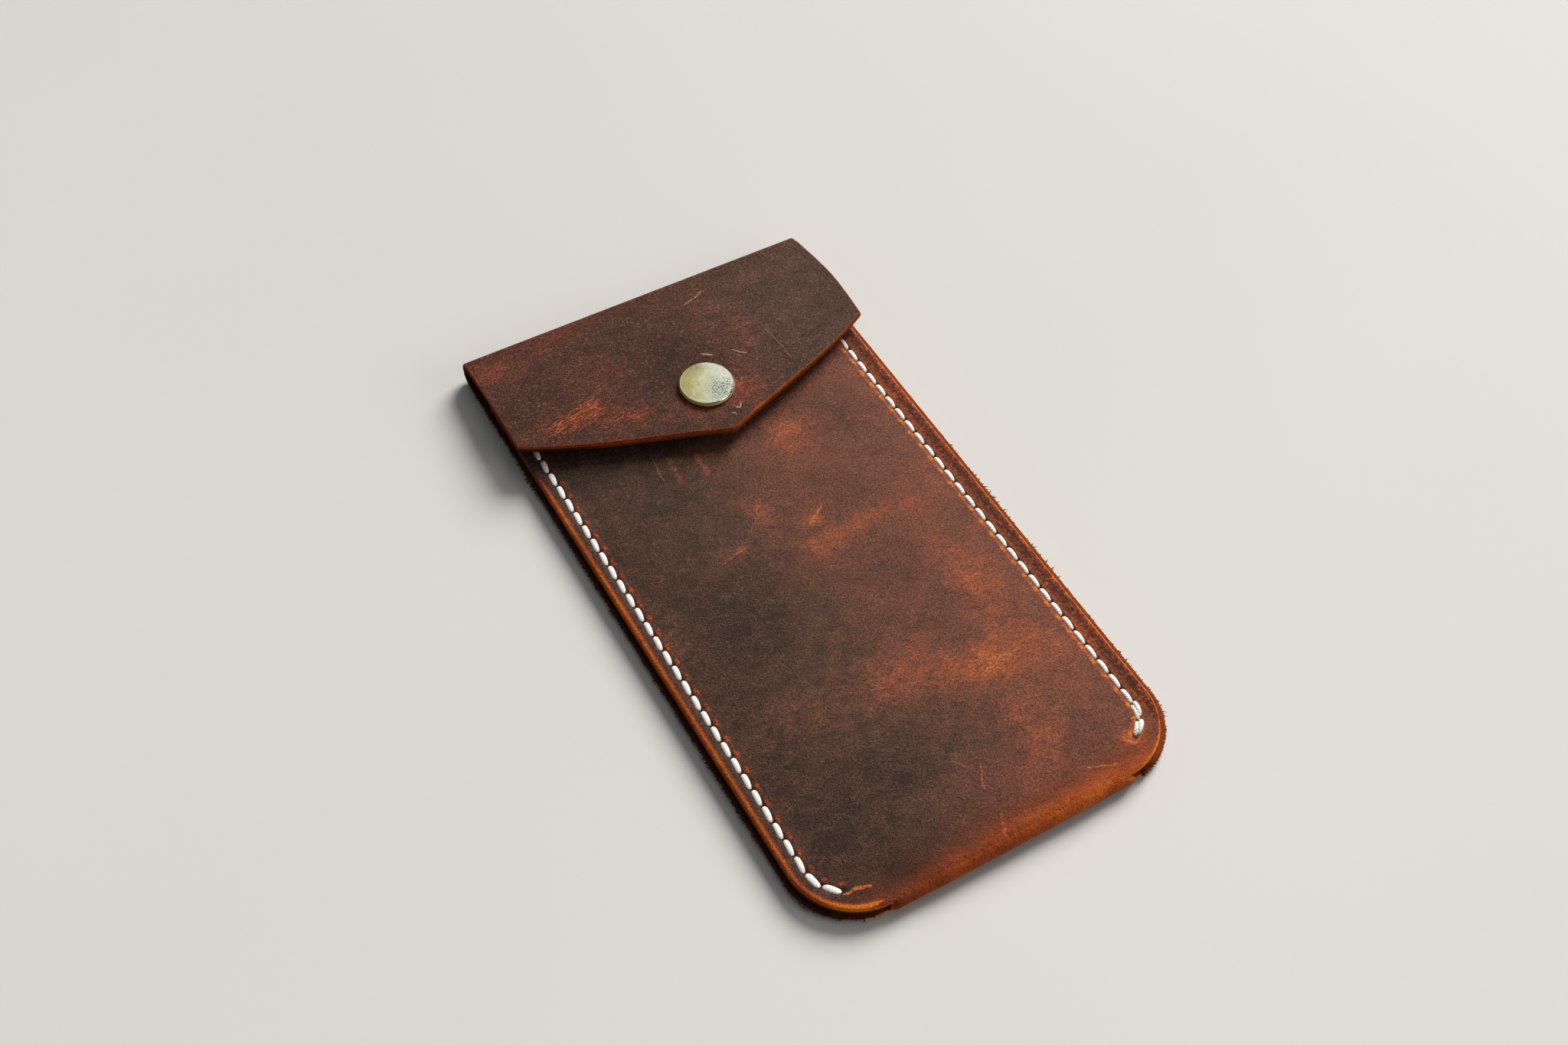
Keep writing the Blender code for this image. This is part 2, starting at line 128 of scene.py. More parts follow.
POCKET_ROUND = 0.62
FLAP_ROUND = 0.36
EDGE_STEPS = [0, 0.1, 0.24, 0.42, 0.62, 0.9, 1.25, 1.65, 2.1]
SEAM_STEP = 0.3
SEAM_BAND_END = 6.9
INNER_STEPS = [7.6, 8.8, 10.4, 12.2, CORNER_RADIUS]
FRONT_ROW = 0.8
BACK_ROW = 1.6
FAR = 99.0
# What a sheet point away from every seam has
PLAIN = {"seam": (-9.0, -20.0, 0.0), "lift_out": 0.0, "lift_in": 0.0}


# ---- Small tools -------------------------------------------------------------
def smooth(low, high, value):
    """Smoothstep of `value` between `low` and `high`."""
    t = np.clip((np.asarray(value, float) - low) / (high - low), 0, 1)
    return t * t * (3 - 2 * t)


def bell(value, width):
    return np.exp(-np.square(np.asarray(value, float) / width))


def wobble(points, scale, seed):
    """Smooth noise, about -1 to 1, at each point."""
    shift = Vector((seed * 17.3, seed * -9.1, seed * 5.7))
    return np.array([noise.noise(Vector(point) * scale + shift) for point in points])


def ripple(x, y, scale, level):
    """Smooth noise, about -1 to 1, at one place."""
    return noise.noise(Vector((x * scale, y * scale, level)))


def ring_steps():
    """Distances from a cut edge: close at the edge and along the seam."""
    seam = np.arange(EDGE_STEPS[-1] + SEAM_STEP, SEAM_BAND_END, SEAM_STEP)
    return EDGE_STEPS + list(seam) + INNER_STEPS


RINGS = ring_steps()
RING_COUNT = len(RINGS) - 1
MIDDLE_STEPS = 44
LAST_COLUMN = 2 * RING_COUNT + MIDDLE_STEPS


def add_mesh(name, points, faces, materials, face_slots=None, attributes=None):
    """A smooth-shaded object from millimetre points."""
    mesh = bpy.data.meshes.new(name)
    mesh.from_pydata((np.asarray(points) * MM).tolist(), [], faces)
    for material in materials:
        mesh.materials.append(material)
    if face_slots is not None:
        mesh.polygons.foreach_set("material_index", face_slots)
    for key, values in (attributes or {}).items():
        values = np.asarray(values, np.float32)
        kind, field = ("FLOAT", "value") if values.ndim == 1 else ("FLOAT_VECTOR", "vector")
        mesh.attributes.new(key, kind, "POINT").data.foreach_set(field, values.ravel())
    mesh.shade_smooth()
    obj = bpy.data.objects.new(name, mesh)
    bpy.context.collection.objects.link(obj)
    return obj


def fix_normals(obj):
    mesh = bmesh.new()
    mesh.from_mesh(obj.data)
    bmesh.ops.recalc_face_normals(mesh, faces=mesh.faces)
    mesh.to_mesh(obj.data)
    mesh.free()
    obj.data.shade_smooth()


def tube_faces(base, sides, stations):
    """Faces of a closed tube whose rings of points start at `base`."""
    faces = []
    for start in range(base, base + (stations - 1) * sides, sides):
        for corner in range(sides):
            a, b = start + corner, start + (corner + 1) % sides
            faces.append([a, b, b + sides, a + sides])
    ring = list(range(base, base + sides))
    return faces + [ring[::-1], [point + (stations - 1) * sides for point in ring]]


# ---- The seams ---------------------------------------------------------------
def seam_point(side, distance):
    """Point and outward direction at `distance` down a seam."""
    if distance <= SEAM_STRAIGHT:
        return np.array([SEAM_X[side], SEAM_TOP_Y - distance]), np.array([side, 0.0])
    angle = (distance - SEAM_STRAIGHT) / SEAM_TURN_RADIUS
    outward = np.array([side * math.cos(angle), -math.sin(angle)])
    centre = np.array([SEAM_X[side] - side * SEAM_TURN_RADIUS, SEAM_TURN_Y])
    return centre + outward * SEAM_TURN_RADIUS, outward


def seam_coordinates(x, y):
    """Stitches down the nearer seam, and millimetres outward from it."""
    side = np.where(x < 0, -1, 1)
    seam_x = np.where(x < 0, -SEAM_X[-1], SEAM_X[1])
    across = x * side - (seam_x - SEAM_TURN_RADIUS)
    down = SEAM_TURN_Y - y
    turned = down > 0
    along = np.where(turned, SEAM_STRAIGHT + SEAM_TURN_RADIUS * np.arctan2(down, across),
                     SEAM_TOP_Y - y)
    outward = np.where(turned, np.hypot(across, down), across) - SEAM_TURN_RADIUS
    return along / PITCH, outward


def seam_relief(along, outward, valley):
    """How deep the leather is drawn in along the thread and at its holes."""
    on = smooth(-0.5, 0, along) * smooth(STITCHES + 0.35, STITCHES, along)
    nearest = along - np.round(along)
    hole = bell(nearest * PITCH, 0.5) * bell(outward + 0.12, 0.42)
    return on * (valley * bell(outward, 0.75) + 0.24 * hole), on


# ---- Leather shells ----------------------------------------------------------
class Sheet:
    """Grid points of a thick sheet: middle, normal, lifts and paint values."""

    def __init__(self, rounding, inner_share):
        self.rounding = rounding
        self.inner_share = inner_share
        self.index = {}
        self.columns = {key: [] for key in ("mid", "normal", "strip", "edge", "seam",
                                            "lift_out", "lift_in", "raw", "bead")}

    def add(self, row, column, **values):
        self.index[row, column] = len(self.index)
        for key, store in self.columns.items():
            store.append(values[key])

    def array(self, key):
        return np.array(self.columns[key], float)


def edge_drop(distance, rounding):
    """How far a burnished edge has rounded off at `distance` from the cut."""
    t = np.clip(1 - distance / rounding, 0, 1)
    return rounding * (1 - np.sqrt(1 - np.square(t)))


def shell(name, sheet, materials):
    """Grain side, flesh side and rounded cut edge of a sheet, as one mesh."""
    mid, normal = sheet.array("mid"), sheet.array("normal")
    edge, raw, bead = sheet.array("edge"), sheet.array("raw"), sheet.array("bead")
    drop = edge_drop(edge, sheet.rounding)[:, None]
    outer = mid + normal * (HALF - drop + sheet.array("lift_out")[:, None])
    inner = mid - normal * (HALF - drop * sheet.inner_share - sheet.array("lift_in")[:, None])
    count = len(mid)
    cells = []
    for row, column in sheet.index:
        ring = [sheet.index.get(key) for key in
                ((row, column), (row, column + 1), (row + 1, column + 1), (row + 1, column))]
        if None not in ring:
            cells.append(ring)
    corner, beside, _, above = cells[0]
    facing = np.cross(outer[beside] - outer[corner], outer[above] - outer[corner])
    if facing @ normal[corner] < 0:
        cells = [ring[::-1] for ring in cells]

    open_edges = {}
    for ring in cells:
        for a, b in zip(ring, ring[1:] + ring[:1]):
            if (b, a) in open_edges:
                del open_edges[b, a]
            else:
                open_edges[a, b] = True
    outward = np.zeros((count, 3))
    for a, b in open_edges:
        away = np.cross(outer[b] - outer[a], normal[a])
        away /= np.linalg.norm(away) + 1e-9
        outward[a] += away
        outward[b] += away
    border = sorted({point for pair in open_edges for point in pair})
    lengths = np.linalg.norm(outward[border], axis=1)[:, None]
    outward[border] /= lengths + 1e-9

    points = [outer, inner]
    wall_rows = (0.22, 0.5, 0.78)
    rough = wobble(mid[border], 1.9, 3) * (0.08 + 0.12 * raw[border])
    for depth in wall_rows:
        bulge = 0.16 * math.sin(math.pi * depth) + rough
        points.append(outer[border] * (1 - depth) + inner[border] * depth
                      + outward[border] * bulge[:, None])
    place = {point: number for number, point in enumerate(border)}
    levels = [lambda point: point]
    for level in range(len(wall_rows)):
        levels.append(lambda point, base=2 * count + level * len(border): base + place[point])
    levels.append(lambda point: count + point)

    faces = cells + [[count + point for point in reversed(ring)] for ring in cells]
    slots = [0] * len(cells) + [1] * len(cells)
    for a, b in open_edges:
        for upper, lower in zip(levels, levels[1:]):
            faces.append([upper(b), upper(a), lower(a), lower(b)])
            slots.append(2)

    strip, seam = sheet.array("strip"), sheet.array("seam")
    below = strip + np.array([0, 0, LEATHER])
    walls = [strip[border] + np.array([0, 0, depth * LEATHER]) for depth in wall_rows]
    attributes = {
        "strip": np.concatenate([strip, below] + walls),
        "seam": np.concatenate([seam, seam] + [seam[border]] * len(wall_rows)),
        "edge": np.concatenate([edge, edge] + [np.zeros(len(border))] * len(wall_rows)),
        "raw": np.concatenate([raw, raw] + [raw[border]] * len(wall_rows)),
        "bead": np.concatenate([bead, bead] + [bead[border]] * len(wall_rows)),
    }
    return add_mesh(name, np.concatenate(points), faces, materials, slots, attributes)


def corner_cut_distance(x, y, left, right):
    """Distance from the side edges and the two round lower corners."""
    distances = []
    for side, edge_x in ((-1, left), (1, right)):
        out = (edge_x - x) * side
        inward = CORNER_RADIUS - out
        below = CORNER_TOP - y
        on_arc = CORNER_RADIUS - math.hypot(inward, below)
        past_arc = math.hypot(inward, y - CORNER_LOW)
        if below <= 0:
            distances.append(out)
        elif inward >= 0:
            distances.append(on_arc)
        else:
            distances.append(past_arc)
    return max(min(distances), 0)


def panel_point(row, column, left, right):
    """Plan position of a grid point; rows count up from the corner's bottom."""
    from_left, from_right = column, LAST_COLUMN - column
    near = min(from_left, from_right)
    if near > RING_COUNT:
        share = (column - RING_COUNT) / MIDDLE_STEPS
        x = left + CORNER_RADIUS + share * (right - left - 2 * CORNER_RADIUS)
        return x, CORNER_LOW + RINGS[row] if row <= RING_COUNT else None
    side, edge_x = (-1, left) if from_left < from_right else (1, right)
    if row > RING_COUNT:
        return edge_x - side * RINGS[near], None
    centre = edge_x - side * CORNER_RADIUS, CORNER_TOP
    inner, outer = min(near, row), max(near, row)
    if inner == RING_COUNT:
        return centre
    half_turn = math.pi / 4 * (outer - inner) / (RING_COUNT - inner)
    angle = math.pi / 4 - half_turn if near <= row else math.pi / 4 + half_turn
    radius = CORNER_RADIUS - RINGS[inner]
    return centre[0] + side * radius * math.cos(angle), centre[1] - radius * math.sin(angle)


def wall_share(edge):
    """0 on the stitched flange, 1 on the wall inside it."""
    return float(smooth(FLANGE_WIDTH, FLANGE_WIDTH + WALL_SLOPE, edge))


def bead_width(x, y):
    """The burnished bead: broad down the left side, thin down the right and under the flap."""
    left = float(smooth(-26, -31, x)) * float(smooth(45, 38, y))
    return 0.4 + 0.95 * left


def build_pocket(materials):
    sheet = Sheet(POCKET_ROUND, 0.25)

    def place(row, column, x, y, left, right, front, angle=None):
        """One point; `angle` turns round the bottom fold, from the front."""
        cut = corner_cut_distance(x, max(y, CORNER_LOW), left, right)
        mouth = max(MOUTH_Y - y, 0) if front else FAR
        share = wall_share(cut)
        radius = (FLANGE_MID + WALL_RISE * share - HALF) / 2
        if angle is None and y < FOLD_Y:
            angle = (FOLD_Y - y) / FOLD_RADIUS
            angle = angle if front else math.pi - angle
        if angle is not None:
            mid = (x, FOLD_Y - radius * math.sin(angle), HALF + radius + radius * math.cos(angle))
            normal = (0, -math.sin(angle), math.cos(angle))
            length = FOLD_Y - FOLD_RADIUS * angle
        elif front:
            mid, normal, length = (x, y, FLANGE_MID + WALL_RISE * share), (0, 0, 1), y
        else:
            mid, normal = (x, y, HALF), (0, 0, -1)
            length = FOLD_Y - FOLD_RADIUS * math.pi - (y - FOLD_Y)
        along, outward = seam_coordinates(np.float64(x), np.float64(y))
        relief, on = seam_relief(along, outward, VALLEY_FRONT if front else VALLEY_BACK)
        lift = 0.0
        if front and angle is None:
            spread = smooth(0, 24, cut) * smooth(MOUTH_Y - 34, MOUTH_Y - 60, y)
            waves = ripple(x, y, 0.05, 2.0) * 0.16
            waves += ripple(x, y, 0.16, 7.0) * 0.05
            lift = WALL_DOME * float(spread) + waves * float(smooth(2, 12, cut))
        if angle is not None and angle > 0.4:
            relief, on = 0.0, 0.0
        pressed = 0.0
        if front:
            pressed = 0.26 * float(smooth(3.0, 1.5, cut) * smooth(0.5, 0.0, angle or 0.0))
        sheet.add(row, column, mid=mid, normal=normal, strip=(x, length, 0),
                  edge=min(cut, mouth), seam=(float(along), float(outward), float(on)),
                  lift_out=lift - float(relief), lift_in=lift - pressed,
                  raw=0.0 if front else 1.0,
                  bead=bead_width(x, y) if front and angle is None else 0.3)

    def straight_row(row, y, left, right, front):
        for column in range(LAST_COLUMN + 1):
            x = panel_point(RING_COUNT + 1, column, left, right)[0]
            place(row, column, x, y, left, right, front)

    def corner_row(row, ring, left, right, front):
        for column in range(LAST_COLUMN + 1):
            x, y = panel_point(ring, column, left, right)
            place(row, column, x, y, left, right, front)

    # Front wall, from the mouth down to the bottom fold
    straight = np.arange(CORNER_TOP + FRONT_ROW, MOUTH_Y - EDGE_STEPS[-1] - 0.3, FRONT_ROW)
    front_rows = [MOUTH_Y - step for step in EDGE_STEPS] + list(straight[::-1])
    row = 0
    for y in front_rows:
        straight_row(row, y, FRONT_LEFT, FRONT_RIGHT, True)
        row += 1
    for ring in range(RING_COUNT, -1, -1):
        corner_row(row, ring, FRONT_LEFT, FRONT_RIGHT, True)
        row += 1

    # Bottom fold, between the two cut corners
    fold_steps = 9
    for step in range(1, fold_steps):
        share = step / fold_steps
        left = FRONT_LEFT + (BACK_LEFT - FRONT_LEFT) * share
        right = FRONT_RIGHT + (BACK_RIGHT - FRONT_RIGHT) * share
        angle = CORNER_WRAP + (math.pi - 2 * CORNER_WRAP) * share
        for column in range(RING_COUNT, LAST_COLUMN - RING_COUNT + 1):
            x = panel_point(0, column, left, right)[0]
            place(row, column, x, CORNER_LOW, left, right, share < 0.5, angle)
        row += 1

    # Back, from the bottom fold to the top fold
    for ring in range(RING_COUNT + 1):
        corner_row(row, ring, BACK_LEFT, BACK_RIGHT, False)
        row += 1
    for y in np.linspace(CORNER_TOP + BACK_ROW, TOP_BEND_Y, int((TOP_BEND_Y - CORNER_TOP) / BACK_ROW)):
        straight_row(row, y, BACK_LEFT, BACK_RIGHT, False)
        row += 1
    for point, normal, travel in top_fold_profile(0, BAND_MIDDLE):
        for column in range(LAST_COLUMN + 1):
            x = panel_point(RING_COUNT + 1, column, BACK_LEFT, BACK_RIGHT)[0]
            sheet.add(row, column, mid=(x, *point), normal=(0, *normal),
                      strip=(x, BACK_END - travel, 0), edge=min(x - BACK_LEFT, BACK_RIGHT - x),
                      raw=1.0, bead=0.3, **PLAIN)
        row += 1
    return shell("leather_pocket", sheet, materials)


def top_fold_profile(start_z, end_z):
    """(y, z), normal and travel round the top fold, between two heights."""
    rows = []

    def bend(quarters, centre_z, straight):
        """Rows round one bend, after `quarters` of a turn and a straight run."""
        for step in range(1, TOP_BEND_STEPS + 1):
            angle = math.pi / 2 * (quarters + step / TOP_BEND_STEPS)
            y, z = math.sin(angle), -math.cos(angle)
            rows.append(((TOP_BEND_Y + TOP_BEND * y, centre_z + TOP_BEND * z), (y, z),
                         TOP_BEND * angle + straight))

    bend(0, BAND_LOW, 0)
    for z in (BAND_LOW + 0.25, BAND_MIDDLE, BAND_HIGH - 0.25, BAND_HIGH):
        rows.append(((TOP_Y - HALF, z), (1.0, 0.0), math.pi / 2 * TOP_BEND + z - BAND_LOW))
    bend(1, BAND_HIGH, BAND_HEIGHT)
    return [row for row in rows if start_z - 1e-6 <= row[0][1] <= end_z + 1e-6]


def flap_edge_y(x):
    """The flap's lower edge: straight from the tip, and bowed towards the corners."""
    corner = FLAP_LEFT if x < FLAP_TIP[0] else FLAP_RIGHT
    along = (x - FLAP_TIP[0]) / (corner[0] - FLAP_TIP[0])
    straight = FLAP_TIP[1] + along * (corner[1] - FLAP_TIP[1])
    blunt = 0.25 * math.exp(-((x - FLAP_TIP[0]) / 0.8) ** 2)
    return straight - FLAP_BULGE * 6.75 * along * along * (1 - along) + blunt


def flap_height(x, y):
    """Middle of the flap's leather: up from the fold, level at the snap."""
    start = BAND_HIGH + TOP_BEND
    ramp = float(smooth(TOP_BEND_Y + 3, TOP_BEND_Y - FLAP_RAMP, y))
    droop = FLAP_DROOP * (abs(x) / FLAP_RIGHT[0]) ** 2.4 * float(smooth(TOP_BEND_Y, TOP_BEND_Y - 14, y))
    far = math.hypot(x - SNAP_X, y - SNAP_Y)
    pressed = 0.22 * math.exp(-((far - 6.8) / 1.6) ** 2)
    waves = ripple(x, y, 0.06, 11.0) * 0.14
    waves *= float(smooth(TOP_BEND_Y, TOP_BEND_Y - 8, y)) * float(smooth(6, 14, far))
    return start + (FLAP_MID - start) * ramp - droop - pressed + waves


def build_flap(materials):
    sheet = Sheet(FLAP_ROUND, 0.7)
    side_steps = EDGE_STEPS + [2.8, 3.8]
    middle = 76
    columns = len(side_steps) * 2 + middle - 1

    def side_x(y):
        share = float(smooth(TOP_BEND_Y, FLAP_LEFT[1], y))
        left = BACK_LEFT + (FLAP_LEFT[0] - BACK_LEFT) * share
        swell = 0.8 * math.sin(math.pi * min(max((TOP_BEND_Y + 1 - y) / 30, 0), 1))
        return left, BACK_RIGHT + (FLAP_RIGHT[0] - BACK_RIGHT) * share + swell

    def column_x(column, left, right):
        if column < len(side_steps):
            return left + side_steps[column]
        if column > columns - 1 - len(side_steps):
            return right - side_steps[columns - 1 - column]
        share = (column - len(side_steps) + 1) / middle * 2
        if share < 1:
            return left + side_steps[-1] + share * (FLAP_TIP[0] - left - side_steps[-1])
        return FLAP_TIP[0] + (share - 1) * (right - side_steps[-1] - FLAP_TIP[0])

    row = 0
    for point, normal, travel in top_fold_profile(BAND_MIDDLE, FAR):
        left, right = side_x(TOP_Y)
        for column in range(columns):
            x = column_x(column, left, right)
            sheet.add(row, column, mid=(x, *point), normal=(0, *normal),
                      strip=(x, BACK_END - travel, 0), edge=min(x - left, right - x),
                      raw=0.6, bead=0.45, **PLAIN)
        row += 1
    last_rings = EDGE_STEPS[::-1]
    body_rows = 52
    for step in range(1, body_rows + len(last_rings)):
        for column in range(columns):
            x = column_x(column, *side_x(FLAP_SIDE_Y))
            if step < body_rows:
                target = flap_edge_y(x) + EDGE_STEPS[-1] * FLAP_SLANT
                y = TOP_BEND_Y + (target - TOP_BEND_Y) * step / body_rows
            else:
                y = flap_edge_y(x) + last_rings[step - body_rows] * FLAP_SLANT
            left, right = side_x(y)
            x = column_x(column, left, right)
            z = flap_height(x, y)
            slope = flap_height(x, y + 0.5) - flap_height(x, y - 0.5)
            tilt = flap_height(x + 0.5, y) - flap_height(x - 0.5, y)
            normal = Vector((-tilt, -slope, 1)).normalized()
            lower = (y - flap_edge_y(x)) / FLAP_SLANT
            sheet.add(row, column, mid=(x, y, z), normal=tuple(normal),
                      strip=(x, FLAP_ORIGIN - (TOP_BEND_Y - y), 0),
                      edge=max(min(x - left, right - x, lower), 0), raw=0.0, bead=0.45, **PLAIN)
        row += 1
    return shell("leather_flap", sheet, materials)


# ---- Loose fibres on the raw edges --------------------------------------------
FIBRES = 1100
FIBRE_SIDES = 4
FIBRE_STATIONS = 4


def back_outline(share, side):
    """Point and outward direction on the back's cut edge, from top to bottom."""
    edge_x = BACK_LEFT if side < 0 else BACK_RIGHT
    straight = TOP_BEND_Y - 3 - CORNER_TOP
    bend = CORNER_RADIUS * math.radians(84)
    travel = share * (straight + bend)
    if travel < straight:
        return (edge_x, TOP_BEND_Y - 3 - travel), (side, 0.0)
    angle = (travel - straight) / CORNER_RADIUS
    outward = (side * math.cos(angle), -math.sin(angle))
    centre = (edge_x - side * CORNER_RADIUS, CORNER_TOP)
    return (centre[0] + outward[0] * CORNER_RADIUS, centre[1] + outward[1] * CORNER_RADIUS), outward


def build_fibres(material):
    chance = random.Random(11)
    points, faces, strips = [], [], []
    for number in range(FIBRES):
        side = -1 if number % 2 else 1
        share = chance.random() if side < 0 else 1 - 0.60 * chance.random() ** 1.8
        tuft = 0.5 + 0.5 * noise.noise(Vector((share * 31, side * 4.0, 0.5)))
        (x, y), outward = back_outline(share, side)
        length = 0.15 + 1.0 * tuft * chance.random() ** 1.4
        width = 0.09 + 0.16 * chance.random()
        base = Vector((x - outward[0] * 0.1, y - outward[1] * 0.1, 0.25 + 1.35 * chance.random()))
        aim = Vector((*outward, chance.uniform(-0.3, 0.5))).normalized()
        curl = Vector((-outward[1], outward[0], chance.uniform(-0.5, 0.5))) * chance.uniform(-0.8, 0.8)
        faces += tube_faces(len(points), FIBRE_SIDES, FIBRE_STATIONS)
        for station in range(FIBRE_STATIONS):
            t = station / (FIBRE_STATIONS - 1)
            centre = base + aim * (length + 0.1) * t + curl * length * t * t
            centre.z = min(max(centre.z, 0.1), LEATHER)
            around = aim.orthogonal().normalized()
            beside = aim.cross(around)
            thick = width * (1 - 0.8 * t)
            for corner in range(FIBRE_SIDES):
                turn = math.tau * corner / FIBRE_SIDES
                points.append(centre + (around * math.cos(turn) + beside * math.sin(turn)) * thick)
                strips.append((number * 1.7, t * 2, 0.9))
    fibres = add_mesh("edge_fibres", points, faces, [material],
                      attributes={"strip": strips, "raw": np.ones(len(points))})
    fix_normals(fibres)
    return fibres


# ---- Thread ------------------------------------------------------------------
STITCH_SIDES = 10
STITCH_STATIONS = 11
STITCH_HALF_WIDTH = {-1: 0.66, 1: 0.60}
STITCH_HALF_HEIGHT = 0.30


def stitch(side, number, lean, shift, front, raise_by=0.0, size=1.0):
    """One flattened stitch: blunt where it comes up, narrow where it dives."""
    points, strands = [], []
    surface = FLANGE_MID + HALF - VALLEY_FRONT if front else VALLEY_BACK
    up = 1 if front else -1
    for station in range(STITCH_STATIONS):
        t = station / (STITCH_STATIONS - 1)
        centre, outward = seam_point(side, (number + 1.02 * t - 0.01) * PITCH)
        offset = lean * (2 * t - 1) * up + shift
        centre = centre + outward * offset
        rise = math.sin(math.pi * min(max(t, 0.001), 0.999)) ** 0.45
        height = surface + up * (-0.55 + (0.72 + raise_by) * rise)
        belly = (1 - abs(2 * t ** 0.88 - 1) ** 2.6) ** 0.5 if 0 < t < 1 else 0
        width = STITCH_HALF_WIDTH[side] * size * (0.34 + 0.66 * belly)
        depth = STITCH_HALF_HEIGHT * (0.6 + 0.4 * rise)
        for corner in range(STITCH_SIDES):
            angle = math.tau * corner / STITCH_SIDES
            across = outward * math.cos(angle) * width
            points.append((centre[0] + across[0], centre[1] + across[1],
                           height + depth * math.sin(angle) * up))
            strands.append((t * PITCH, corner / STITCH_SIDES, number))
    return points, strands


def build_thread(side, lean, material):
    """Both faces of a seam, and the doubled stitches where the right one ends."""
    parts = []
    for number in range(STITCHES):
        last_two = number >= STITCHES - 2
        plump = 1.16 if side < 0 and last_two else 1.0
        doubled = side > 0 and last_two
        parts.append(stitch(side, number, lean, 0.0, False, 0.0, plump))
        if doubled:
            parts.append(stitch(side, number, 0.05, -0.32, True, 0.10, 0.96))
            parts.append(stitch(side, number - 0.14, -0.16, 0.32, True, 0.22, 0.92))
        else:
            parts.append(stitch(side, number, lean, 0.0, True, 0.0, plump))
    points, strands, faces = [], [], []
    for part_points, part_strands in parts:
        faces += tube_faces(len(points), STITCH_SIDES, STITCH_STATIONS)
        points += part_points
        strands += part_strands
    name = "left_stitches" if side < 0 else "right_stitches"
    thread = add_mesh(name, points, faces, [material], attributes={"strand": strands})
    fix_normals(thread)
    return thread


# ---- Snap --------------------------------------------------------------------
LATHE_STEPS = 96


def lathe(name, profile, material, sharp=50):
    """Turn a closed (radius, z) profile about the snap's axis."""
    points, faces = [], []
    rows = len(profile)
    for step in range(LATHE_STEPS):
        turn = math.tau * step / LATHE_STEPS
        for radius, z in profile:
            radius = max(radius, 0.004)
            points.append((SNAP_X + radius * math.cos(turn), SNAP_Y + radius * math.sin(turn), z))
    for step in range(LATHE_STEPS):
        after = (step + 1) % LATHE_STEPS
        for row in range(rows):
            below = (row + 1) % rows
            faces.append([step * rows + row, step * rows + below,
                          after * rows + below, after * rows + row])
    obj = add_mesh(name, points, faces, [material])
    fix_normals(obj)
    obj.data.set_sharp_from_angle(angle=math.radians(sharp))
    return obj


def arc(centre_r, centre_z, radius, first, last, steps):
    """Profile points on an arc, angles in degrees."""
    points = []
    for step in range(steps + 1):
        angle = math.radians(first + (last - first) * step / steps)
        points.append((centre_r + radius * math.cos(angle), centre_z + radius * math.sin(angle)))
    return points


def build_snap(brass, steel):
    seat = FLAP_HIGH - 0.1
    cap_radius = (SNAP_HIGH_X - SNAP_LOW_X) / 2
    face = cap_radius - 0.30
    dome_drop = 0.08
    radii = np.linspace(0, face, 16)
    dome = [(radius, CAP_TOP - dome_drop * (radius / face) ** 2) for radius in radii]
    rim = arc(face - 0.25, CAP_TOP - dome_drop - 0.335, 0.42, 53, 12, 8)
    side = [(cap_radius - 0.10, CAP_TOP - 0.46), (cap_radius, CAP_TOP - 0.72),
            (cap_radius - 0.02, seat + 0.2), (cap_radius - 0.2, seat)]
    socket_low, socket_high = [corner[2] for corner in box_mm("snap_socket")]
    barrel_low = box_mm("snap_cap")[0][2]
    barrel = [(1.5, seat), (1.5, socket_high - 0.5), (2.2, socket_high - 0.55), (2.2, barrel_low),
              (0.9, barrel_low), (0.9, seat), (0, seat)]
    cap = lathe("snap_cap_domed", dome + rim + side + barrel, brass, 20)
    skirt = arc(4.75, socket_low + 0.35, 0.35, -90, 0, 6)
    shoulder = arc(4.6, socket_high - 0.5, 0.5, 0, 90, 6)
    socket = lathe("snap_socket_ring", [(2.9, socket_low + 0.2), (3.0, socket_low)] + skirt + shoulder
                   + [(1.8, socket_high), (1.8, socket_high - 0.45), (4.0, socket_high - 0.45),
                      (4.0, socket_low + 0.2)], brass)
    stud_low, stud_high = [corner[2] for corner in box_mm("snap_stud")]
    head = arc(1.9, stud_high - 0.4, 0.4, -60, 90, 10)
    stud = lathe("snap_stud_turned", [(1.45, stud_low), (4.4, stud_low), (4.5, stud_low + 0.1),
                 (4.4, stud_low + 0.22), (3.9, stud_low + 0.36), (2.3, stud_low + 0.42),
                 (1.9, stud_low + 0.6)] + head + [(1.45, stud_high)], brass)
    eyelet_low, eyelet_high = [corner[2] for corner in box_mm("snap_eyelet")]
    eyelet = lathe("snap_eyelet_turned", [(0, eyelet_low)] + arc(4.4, eyelet_low + 0.18, 0.18, -90, 90, 6)
                   + [(1.15, eyelet_low + 0.36), (1.15, eyelet_high - 0.08), (1.0, eyelet_high),
                      (0.75, eyelet_high), (0.75, eyelet_low + 0.5), (0, eyelet_low + 0.5)], brass)
    for piece, node, body in ((cap, "snap_cap", "flap"), (socket, "snap_socket", "flap"),
                              (stud, "snap_stud", "pocket"), (eyelet, "snap_eyelet", "pocket")):
        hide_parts(node)
        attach(piece, body)
    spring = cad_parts["snap_ring_spring"]
    spring.data.materials.clear()
    spring.data.materials.append(steel)


# ---- Materials ---------------------------------------------------------------
class Value:
    """An output socket that takes part in plain arithmetic."""

    def __init__(self, shader, socket):
        self.shader = shader
        self.socket = socket

    def __add__(self, other):
        return self.shader.math("ADD", self, other)

    def __radd__(self, other):
        return self.shader.math("ADD", other, self)

    def __sub__(self, other):
        return self.shader.math("SUBTRACT", self, other)

    def __mul__(self, other):
        return self.shader.math("MULTIPLY", self, other)

    def __truediv__(self, other):
        return self.shader.math("DIVIDE", self, other)

    def __abs__(self):
        return self.shader.math("ABSOLUTE", self)


